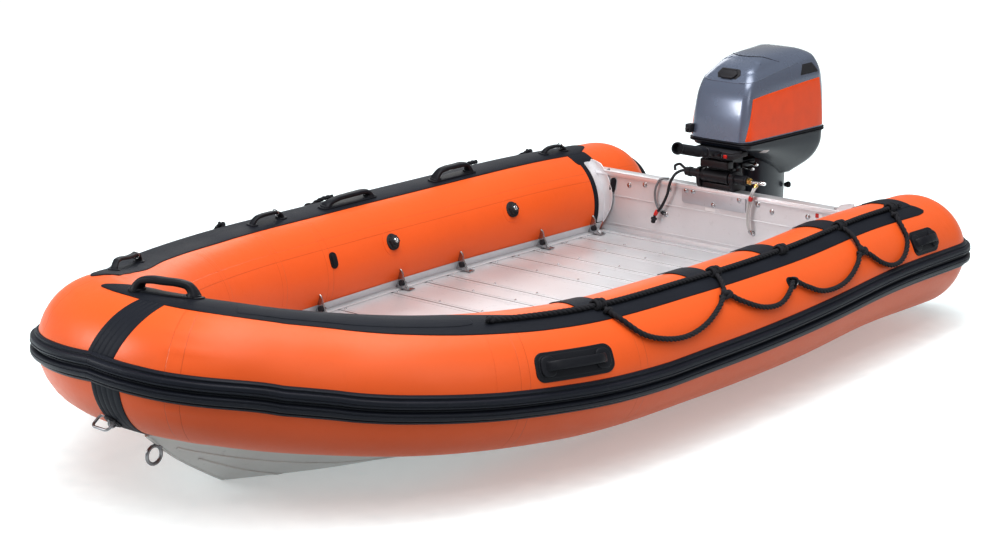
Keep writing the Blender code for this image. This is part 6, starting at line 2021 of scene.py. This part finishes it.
@dataclass
class Controls:
    """The tray under the cowl's front, the tiller arm and its twist grip."""

    arm: tuple[tuple[float, float, float, float], ...] = (
        (1.69, 0.632, 0.02, 0.016), (1.6, 0.652, 0.024, 0.018), (1.515, 0.68, 0.024, 0.019),
        (1.42, 0.706, 0.02, 0.018),
    )
    arm_x: float = 0.045

    def build(self) -> None:
        """Model the controls."""
        self.tray()
        self.tiller()
        self.grip()

    def tray(self) -> None:
        """Model the tray with its switch, marks and the stop switch's box."""
        base = Bench.block("base", (-0.104, 1.516, 0.664), (0.126, 1.64, 0.689), 0.006, 3)
        lip = Bench.block("lip", (-0.1, 1.52, 0.686), (0.122, 1.6, 0.6965), 0.004, 3)
        slots = [Bench.block("slot", (x, 1.5135, 0.6695), (x + 0.01, 1.518, 0.6835), 0.001)
                 for x in (-0.085, -0.068)]
        dress(Bench.join([base, lip, *slots], "control_tray"), BLACK_PLASTIC, Body.MOTOR)
        button = Bench.block("stop_button", (0.08, 1.5085, 0.6705), (0.098, 1.519, 0.6855), 0.003, 3)
        dress(button, RED_PLASTIC, Body.MOTOR)
        marks = [Bench.block("mark", (x, 1.5155, 0.672), (x + wide, 1.517, 0.681), 0.0004)
                 for x, wide in ((-0.036, 0.016), (-0.01, 0.01))]
        dress(Bench.join(marks, "blank_marks"), PALE_PLASTIC, Body.MOTOR)
        box = Bench.block("box", (-0.156, 1.553, 0.75), (-0.128, 1.59, 0.788), 0.004, 3)
        stub = Bench.turned("stub", [(0.0, 0.008), (0.012, 0.0075), (0.014, 0.005)], (-0.142, 1.556, 0.768),
                            FORE, 20)
        dress(Bench.join([box, stub], "kill_switch_box"), BLACK_PLASTIC, Body.MOTOR)
        balls = []
        for y, z in ((1.753, 0.602), (1.722, 0.588)):
            profile = [(0.0, 0.005), (0.026, 0.005), (0.028, 0.0072), (0.033, 0.0096), (0.04, 0.01),
                       (0.047, 0.008), (0.051, 0.0045)]
            balls.append(Bench.turned("ball", profile, (0.054, y, z + 0.004), (1.0, 0.0, -0.06), 24))
        dress(Bench.join(balls, "linkage_balls"), CHROME, Body.MOTOR)
        link = Bench.block("link", (0.046, 1.7, 0.59), (0.056, 1.8, 0.612), 0.003)
        bar = Bench.block("bar", (-0.074, 1.556, 0.6065), (0.074, 1.606, 0.644), 0.006, 3)
        post = Bench.block("post", (-0.058, 1.59, 0.625), (0.058, 1.64, 0.668), 0.005, 3)
        dress(Bench.join([link, bar, post], "steering_bar"), BLACK_PAINT, Body.MOTOR)

    def tiller(self) -> None:
        """Sweep the arm's rounded section."""
        centres = smooth_line([(self.arm_x, y, z) for y, z, _, _ in self.arm], [8, 8, 8])
        sizes = smooth_line([(half, tall, 0.0) for _, _, half, tall in self.arm], [8, 8, 8])
        rings = []
        for centre, size in zip(centres, sizes):
            points = []
            for k in range(20):
                a = 2.0 * math.pi * k / 20
                cosine, sine = squared(a, 0.55)
                points.append(centre + Vector((size.x * cosine, 0.0, size.y * sine)))
            rings.append(points)
        arm = loft("tiller_skin", rings)
        profile = [(-0.012, 0.0215), (-0.01, 0.0235), (0.006, 0.0235), (0.008, 0.0205)]
        collar = Bench.turned("collar", profile, (self.arm_x, 1.426, 0.7045), (0.0, -0.968, 0.25), 28)
        pivot = bolt((self.arm_x + 0.0235, 1.52, 0.678), PORT, 0.0095)
        lever = Bench.block("lever", (self.arm_x + 0.02, 1.455, 0.684), (self.arm_x + 0.03, 1.5, 0.697),
                            0.003)
        dress(Bench.join([arm, collar, lever], "tiller_arm_skin"), BLACK_PAINT, Body.MOTOR, ["tiller_arm"],
              smooth=40.0)
        dress(Bench.join([pivot], "tiller_bolt"), STEEL, Body.MOTOR)

    def grip(self) -> None:
        """Turn the ribbed grip with its hollow end."""
        start = Vector((self.arm_x, 1.4194, 0.706))
        profile = [(0.001, 0.019), (0.01, 0.02), (0.034, 0.0208), (0.0345, 0.0226), (0.044, 0.0234)]
        for k in range(17):
            at = 0.05 + 0.0088 * k
            radius = 0.0236 - 0.001 * k / 17
            profile += [(at, radius - 0.0018), (at + 0.0014, radius), (at + 0.0056, radius),
                        (at + 0.007, radius - 0.0018)]
        profile += [(0.2015, 0.0232), (0.2045, 0.0264), (0.208, 0.0276), (0.217, 0.0274), (0.2215, 0.0258),
                    (0.2225, 0.0238), (0.2215, 0.02), (0.21, 0.019), (0.2, 0.018)]
        grip = Bench.turned("twist_grip", profile, start, (0.0, -0.968, 0.25), 40)
        dress(grip, MOULDED, Body.MOTOR, ["tiller_grip"], smooth=40.0)


@dataclass
class Mounting:
    """Clamp brackets, tilt tube and the tilting swivel bracket."""

    front: float = 1.5747
    back: float = 1.6363
    top: float = 0.5079

    def build(self) -> None:
        """Model the mounting."""
        for side, sign in SIGNS:
            self.clamp(side, sign)
        self.tube()
        self.bracket()
        # A black block between the clamps: partly a real brace, partly painted shade under the tilt tube
        # and sleeve.
        brace = Bench.block("brace", (-0.078, 1.579, 0.5085), (0.078, 1.612, 0.5335), 0.003)
        y, z = TILT_AXIS
        hook = even_line([(-0.15, y + 0.006, z + 0.004), (-0.185, y + 0.012, z + 0.01),
                          (-0.222, y + 0.022, z + 0.02), (-0.24, y + 0.018, z + 0.01),
                          (-0.232, y + 0.008, z - 0.006)], 0.004)
        dress(Bench.join([brace, Bench.hose("hook", hook, 0.0062, 12)], "clamp_brace"), BLACK_PAINT)

    def clamp(self, side: str, sign: float) -> None:
        """Hook a clamp bracket over the transom."""
        y, z = TILT_AXIS
        front, back, top = self.front, self.back, self.top
        outline = [(front, top), (back, top), (back, 0.08), (back + 0.024, 0.078), (back + 0.032, 0.092),
                   (back + 0.04, 0.2), (back + 0.044, 0.3), (back + 0.042, 0.43), (back + 0.03, 0.548),
                   (back + 0.018, 0.572), (y + 0.036, 0.592), (y + 0.024, 0.598), (y - 0.012, 0.598),
                   (y - 0.025, 0.592), (front - 0.014, 0.572), (front - 0.012, 0.53)]
        low, high = sorted((sign * 0.0785, sign * 0.0975))
        plate = Bench.plate("plate", outline, low, high, 0, 0.003)
        boss = Bench.turned("boss", [(-0.013, 0.0255), (-0.012, 0.027), (0.012, 0.027), (0.013, 0.0255)],
                            (sign * 0.088, y, z), (sign, 0.0, 0.0), 32)
        rib = [Vector((sign * 0.0965, back + 0.03 + 0.008 * math.sin(math.pi * k / 16), 0.12 + 0.024 * k))
               for k in range(17)]
        parts = [plate, boss, Bench.hose("rib", rib, 0.0035, 8)]
        for height in (0.15, 0.29, 0.43):
            parts.append(bolt((sign * 0.0975, back + 0.018, height), (sign, 0.0, 0.0), 0.0085))
        dress(Bench.join(parts, f"clamp_plate_{side}"), BLACK_PAINT, nodes=[f"clamp_bracket_{side}"])

    def tube(self) -> None:
        """Turn the tilt tube with its collars, rod end and brass gland."""
        y, z = TILT_AXIS
        profile = [(-0.165, 0.015), (-0.1645, 0.0195), (-0.15, 0.02), (-0.149, 0.0222), (-0.136, 0.0222),
                   (-0.135, 0.0196), (-0.104, 0.0196), (-0.1035, 0.0215), (0.1035, 0.0215), (0.104, 0.0196),
                   (0.136, 0.0196), (0.137, 0.0226), (0.152, 0.0226), (0.153, 0.02), (0.1645, 0.0198),
                   (0.165, 0.015)]
        dress(Bench.turned("tilt_tube_skin", profile, (0.0, y, z), PORT, 40), BLACK_PAINT,
              nodes=["tilt_tube"])
        gland = [(0.0, 0.015), (0.001, 0.016), (0.013, 0.016), (0.014, 0.012), (0.022, 0.0112),
                 (0.023, 0.0095)]
        dress(Bench.turned("gland", gland, (0.1655, y, z), PORT, 6), BRASS)
        rod = [(0.02, 0.0088), (0.066, 0.0088), (0.067, 0.007), (0.07, 0.007), (0.071, 0.0092),
               (0.086, 0.0092), (0.0895, 0.007)]
        dress(Bench.turned("rod_end", rod, (0.1655, y, z), PORT, 28), CHROME)

    def bracket(self) -> None:
        """Model the tilting bracket with its sleeve, arm and upright tube."""
        y, z = TILT_AXIS
        profile = [(-0.072, 0.027), (-0.0705, 0.0305), (-0.058, 0.0312), (-0.056, 0.0295),
                   (0.056, 0.0295), (0.058, 0.0312), (0.0705, 0.0305), (0.072, 0.027)]
        sleeve = Bench.turned("sleeve", profile, (0.0, y, z), PORT, 40)
        profile = [(0.1402, 0.033), (0.1415, 0.0345), (0.165, 0.0345), (0.168, 0.031), (0.3, 0.03),
                   (0.42, 0.031), (0.47, 0.034), (0.56, 0.0345), (0.5835, 0.0345), (0.5848, 0.0325)]
        upright = Bench.turned("upright", profile, (0.0, SWIVEL_Y, 0.0), UP, 40)
        rings, root = [], y + 0.006
        for k in range(9):
            t = k / 8
            half = 0.058 + (0.027 - 0.058) * t**0.7
            low, high = 0.549 + (0.482 - 0.549) * t, 0.588 + (0.577 - 0.588) * t
            points = []
            for n in range(24):
                a = 2.0 * math.pi * n / 24
                cosine, sine = squared(a, 0.5)
                points.append(Vector((half * cosine, root + (SWIVEL_Y - root) * t,
                                      0.5 * (low + high) + 0.5 * (high - low) * sine)))
            rings.append(points)
        arm = loft("arm", rings)
        web = Bench.plate("web", [(y + 0.02, 0.548), (SWIVEL_Y - 0.026, 0.5), (SWIVEL_Y - 0.026, 0.4),
                                  (SWIVEL_Y - 0.034, 0.44), (y + 0.04, 0.53)], -0.006, 0.006, 0, 0.002)
        nipple = Bench.turned("nipple", [(0.0, 0.006), (0.004, 0.006), (0.005, 0.0035), (0.01, 0.003)],
                              (0.033, SWIVEL_Y, 0.345), PORT, 12)
        cover = Bench.block("cover", (-0.074, 1.62, 0.56), (0.058, 1.648, 0.603), 0.005, 3)
        casting = Bench.join([sleeve, upright, arm, web, nipple, cover], "swivel_casting")
        dress(casting, BLACK_PAINT, Body.SWIVEL, ["swivel_bracket"])


def foil(front: float, back: float, half: float, height: Callable[[float], float] | float,
         steps: int = 12) -> list[Vector]:
    """A level section with a rounded nose and a tapering tail."""
    port = []
    for k in range(steps + 1):
        t = k / steps
        y = front + (back - front) * (1.0 - math.cos(0.5 * math.pi * t))
        share = (y - front) / (back - front)
        if share < FOIL_NOSE:
            width = half * math.sqrt(share / FOIL_NOSE * (2.0 - share / FOIL_NOSE))
        else:
            width = half * (1.0 - 0.6 * ((share - FOIL_NOSE) / (1.0 - FOIL_NOSE)) ** 2.2)
        port.append((width, y))
    port.append((0.3 * half, back))
    outline = port[1:] + [(-x, y) for x, y in port[:0:-1]] + [(0.0, front)]
    return [Vector((x, y, height(y) if callable(height) else height)) for x, y in outline]


@dataclass
class Leg:
    """The steered leg, the gearcase with its plate and skeg, and the propeller."""

    swivel: Pair = (0.14, 0.585)
    plate_z: float = -0.13
    shaft_z: float = -0.295
    skeg_z: float = -0.47
    torpedo: Pair = (1.76, 0.33)
    radius: float = 0.125

    def build(self) -> None:
        """Model the leg and what it carries."""
        self.strut()
        self.gearcase()
        self.propeller()

    def strut(self) -> None:
        """Loft the leg and clamp its yokes round the swivel tube."""
        levels = [(0.4, 1.802, 2.098, 0.06), (0.1, 1.812, 2.084, 0.051), (-0.1292, 1.82, 2.066, 0.04)]
        rings = [foil(1.8, 2.1, 0.062, lambda y: 0.69 - 0.3384 * (y - 1.632) - 0.001)]
        rings.append(foil(1.8, 2.1, 0.0615, lambda y: 0.64 - 0.3 * (y - 1.632)))
        for (z0, f0, b0, h0), (z1, f1, b1, h1) in zip(levels, levels[1:]):
            for k in range(6):
                t = k / 6
                rings.append(foil(f0 + (f1 - f0) * t, b0 + (b1 - b0) * t, h0 + (h1 - h0) * t,
                                  z0 + (z1 - z0) * t))
        rings.append(foil(levels[-1][1], levels[-1][2], levels[-1][3], levels[-1][0]))
        parts = [loft("strut", rings[::-1])]
        for z0, z1 in ((self.swivel[1] + 0.0003, self.swivel[1] + 0.033),
                       (self.swivel[0] - 0.06, self.swivel[0] - 0.0003)):
            front = SWIVEL_Y - 0.04
            corners = ((-0.036, front), (0.036, front), (0.044, 1.832), (-0.044, 1.832))
            outline = round_corners(corners, 0.014, 6)
            parts.append(Bench.plate("yoke", outline, z0, z1, 2, 0.003))
            for x in (-0.03, 0.03):
                parts.append(bolt((x, front + 0.001, 0.5 * (z0 + z1)), FORE, 0.0075))
        for z in (0.33, 0.02):
            band = [foil(1.797, 2.101, 0.063 if z > 0.2 else 0.053, z + 0.006 * k) for k in range(-1, 2)]
            parts.append(loft("band", band))
        dress(Bench.join(parts, "leg_skin"), DARK_SLATE, Body.MOTOR, ["leg"], smooth=40.0)
        knob = [(0.0, 0.01), (0.008, 0.01), (0.01, 0.0135), (0.022, 0.014), (0.026, 0.011), (0.028, 0.005)]
        dress(Bench.turned("leg_knob", knob, (0.041, 2.08, 0.446), (0.55, 0.8, 0.0), 28), BLACK_PLASTIC,
              Body.MOTOR)

    def gearcase(self) -> None:
        """Model the gearcase with its plate, strut, torpedo, skeg and water intakes."""
        half = [(0.052, 1.8), (0.075, 1.845), (0.094, 1.9), (0.099, 2.0), (0.1, 2.12), (0.092, 2.138)]
        outline = half + [(-x, y) for x, y in half[::-1]]
        plate = Bench.plate("plate", outline, self.plate_z - 0.008, self.plate_z - 0.0003, 2, 0.002)
        rings = []
        for k in range(11):
            t = k / 10
            flare = 0.008 * (1.0 - t) ** 3 + 0.01 * t**4
            rings.append(foil(1.822 + 0.008 * t - flare, 2.058 - 0.008 * t, 0.036 - 0.014 * t + flare,
                              self.plate_z - 0.004 + (self.shaft_z - self.plate_z + 0.004) * t))
        strut = loft("strut", rings[::-1])
        front, length = self.torpedo
        nose = [(0.05 * (1.0 - math.cos(0.5 * math.pi * k / 8)) * 2.4,
                 0.05 * math.sin(0.5 * math.pi * k / 8) ** 0.85)
                for k in range(1, 9)]
        profile = [(0.0, 0.006)] + nose + [(0.18, 0.05), (0.24, 0.0496), (0.29, 0.0462), (0.318, 0.0418),
                                           (length - 0.002, 0.04), (length, 0.0385)]
        torpedo = Bench.turned("torpedo", profile, (0.0, front, self.shaft_z), AFT, 48)
        blades = []
        for k in range(9):
            t = k / 8
            z = self.shaft_z - 0.03 + (self.skeg_z - self.shaft_z + 0.03) * t
            blades.append(foil(1.85 + 0.097 * t**1.3, 2.042 + 0.018 * t, 0.0085 - 0.0055 * t, z, 8))
        skeg = loft("skeg", blades[::-1])
        parts = [plate, strut, torpedo, skeg]
        for x in (-0.033, 0.033):
            for k in range(5):
                z = -0.18 - 0.012 * k
                parts.append(Bench.block("louvre", (x - 0.0035, 1.868, z), (x + 0.0035, 1.91, z + 0.005),
                                         0.0015))
        parts.append(Bench.block("tab", (-0.004, 2.072, self.plate_z - 0.046),
                                 (0.004, 2.128, self.plate_z - 0.006), 0.002))
        dress(Bench.join(parts, "gearcase_skin"), DARK_SLATE, Body.MOTOR, ["gearcase"], smooth=40.0)

    def propeller(self) -> None:
        """Model the hub with its cone and three cupped blades."""
        front = self.torpedo[0] + self.torpedo[1] + 0.0008
        profile = [(0.0, 0.036), (0.002, 0.0372), (0.066, 0.0362), (0.072, 0.0345), (0.0735, 0.027),
                   (0.075, 0.018), (0.084, 0.017), (0.092, 0.012), (0.0945, 0.006)]
        parts = [Bench.turned("hub", profile, (0.0, front, self.shaft_z), AFT, 48)]
        sections = smooth_line([(0.025, 0.05, 58.0), (0.045, 0.072, 49.0), (0.075, 0.09, 38.0),
                                (0.102, 0.082, 31.0), (0.118, 0.052, 27.5),
                                (self.radius, 0.016, 26.0)], [3, 4, 4, 3, 3])
        for n in range(3):
            rings = []
            for section in sections:
                reach, chord, twist = section
                a = math.radians(twist)
                across = Vector((math.cos(a), math.sin(a), 0.0))
                normal = Vector((-math.sin(a), math.cos(a), 0.0))
                thick = 0.003 * (1.0 - 0.55 * reach / self.radius)
                ring_points = []
                for k in range(20):
                    b = 2.0 * math.pi * k / 20
                    along, out = 0.5 * chord * math.cos(b), thick * math.sin(b)
                    cup = 0.1 * chord * (2.0 * along / chord) ** 2
                    ring_points.append(Vector((0.0, 0.0, reach)) + along * across + (out - cup) * normal)
                rings.append(ring_points)
            blade = loft("blade", rings)
            hub = Matrix.Translation((0.0, front + 0.04, self.shaft_z))
            turn = Matrix.Rotation(2.0 * math.pi * n / 3, 4, "Y")
            blade.data.transform(hub @ turn @ Matrix.Diagonal((1.0, 0.8, 1.0, 1.0)))
            parts.append(blade)
        dress(Bench.join(parts, "propeller_skin"), BLACK_PAINT, Body.SCREW, ["propeller"], smooth=45.0)


class Studio:
    """Floor, light and camera."""

    floor_size: float = 80.0
    floor_roughness: float = 0.7
    location: Point = (5.631, -6.723, 2.822)
    right: Point = (0.7701, 0.638, 0.0)
    up: Point = (-0.1671, 0.2017, 0.9651)
    forward: Point = (-0.6157, 0.7432, -0.2619)
    lens: float = 82.89
    glow: float = 0.22
    floor_colour: Colour = (0.8, 0.9, 0.93)
    ambient: float = 0.34
    sky: float = 1.75
    sky_degrees: float = 50.0
    sky_heading: Point = (-0.25, 0.25, -1.0)
    sensor: float = 36.0
    lamps: tuple = (
        ("top", (0.5, 0.0, 5.0), (0.0, 0.0, 0.0), 4.0, 120.0),
        ("side", (5.5, -1.0, 3.2), (0.0, 0.0, 0.3), 3.0, 40.0),
        ("back", (-4.5, 4.5, 3.5), (0.0, 0.0, 0.3), 3.0, 50.0),
        ("front", (-2.4, -4.4, 2.2), (0.0, 1.6, 0.9), 1.4, 75.0),
    )

    def build(self) -> None:
        """Set up the studio."""
        self.floor()
        self.lights()
        self.camera()

    def floor(self) -> None:
        """Lay a pale floor at the waterline that throws no colour back on the boat."""
        Bench.clear()
        bpy.ops.mesh.primitive_plane_add(size=self.floor_size, location=(0.0, 0.0, 0.0))
        floor = Bench.named("floor")
        paint = Finish("floor_paint", self.floor_colour, self.floor_roughness).material()
        shader = paint.node_tree.nodes["Principled BSDF"]
        shader.inputs["Emission Color"].default_value = (1.0, 1.0, 1.0, 1.0)
        shader.inputs["Emission Strength"].default_value = self.glow
        floor.data.materials.append(paint)
        floor.visible_diffuse = False

    def lights(self) -> None:
        """Hang large soft lights round a pale world."""
        world = bpy.data.worlds.new("studio")
        bpy.context.scene.world = world
        bpy.context.scene.view_settings.view_transform = "Standard"
        bpy.context.scene.view_settings.look = "Medium High Contrast"
        world.use_nodes = True
        nodes, links = world.node_tree.nodes, world.node_tree.links
        background = nodes["Background"]
        background.inputs["Color"].default_value = (1.0, 1.0, 1.0, 1.0)
        seen = nodes.new("ShaderNodeLightPath").outputs["Is Camera Ray"]
        level = nodes.new("ShaderNodeMapRange")
        level.inputs["To Min"].default_value = self.ambient
        links.new(seen, level.inputs["Value"])
        links.new(level.outputs["Result"], background.inputs["Strength"])
        Bench.clear()
        bpy.ops.object.light_add(type="SUN", location=(0.0, 0.0, 6.0))
        sun = bpy.context.object
        sun.name = "light_sky"
        sun.data.energy = self.sky
        sun.data.angle = math.radians(self.sky_degrees)
        sun.rotation_euler = Vector(self.sky_heading).to_track_quat("-Z", "Y").to_euler()
        for name, place, target, size, power in self.lamps:
            Bench.clear()
            bpy.ops.object.light_add(type="AREA", location=place)
            lamp = bpy.context.object
            lamp.name = f"light_{name}"
            lamp.data.shape = "DISK"
            lamp.data.size = size
            lamp.data.energy = power
            aim = Vector(target) - Vector(place)
            lamp.rotation_euler = aim.to_track_quat("-Z", "Y").to_euler()

    def camera(self) -> None:
        """Place the camera at the photograph's angle."""
        Bench.clear()
        bpy.ops.object.camera_add()
        camera = bpy.context.object
        camera.data.lens = self.lens
        camera.data.sensor_width = self.sensor
        axes = Matrix((self.right, self.up, -Vector(self.forward))).transposed().to_4x4()
        camera.matrix_world = Matrix.Translation(self.location) @ axes
        camera.data.clip_end = 200.0
        bpy.context.scene.camera = camera


def main() -> None:
    """Load the frame and build every piece in order."""
    logging.basicConfig(level=logging.INFO, format="%(message)s")
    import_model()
    Studio().build()
    parts = (Chambers(), Strakes(), Bands(), Ropes(), Lashings(), Handles(), Valves(), BowFittings(),
             Hull(), Deck(), Transom(), Leads(), Cowling(), Controls(), Mounting(), Leg())
    for part in parts:
        part.build()
        LOG.info("%s done", type(part).__name__)


if __name__ == "__main__":
    main()
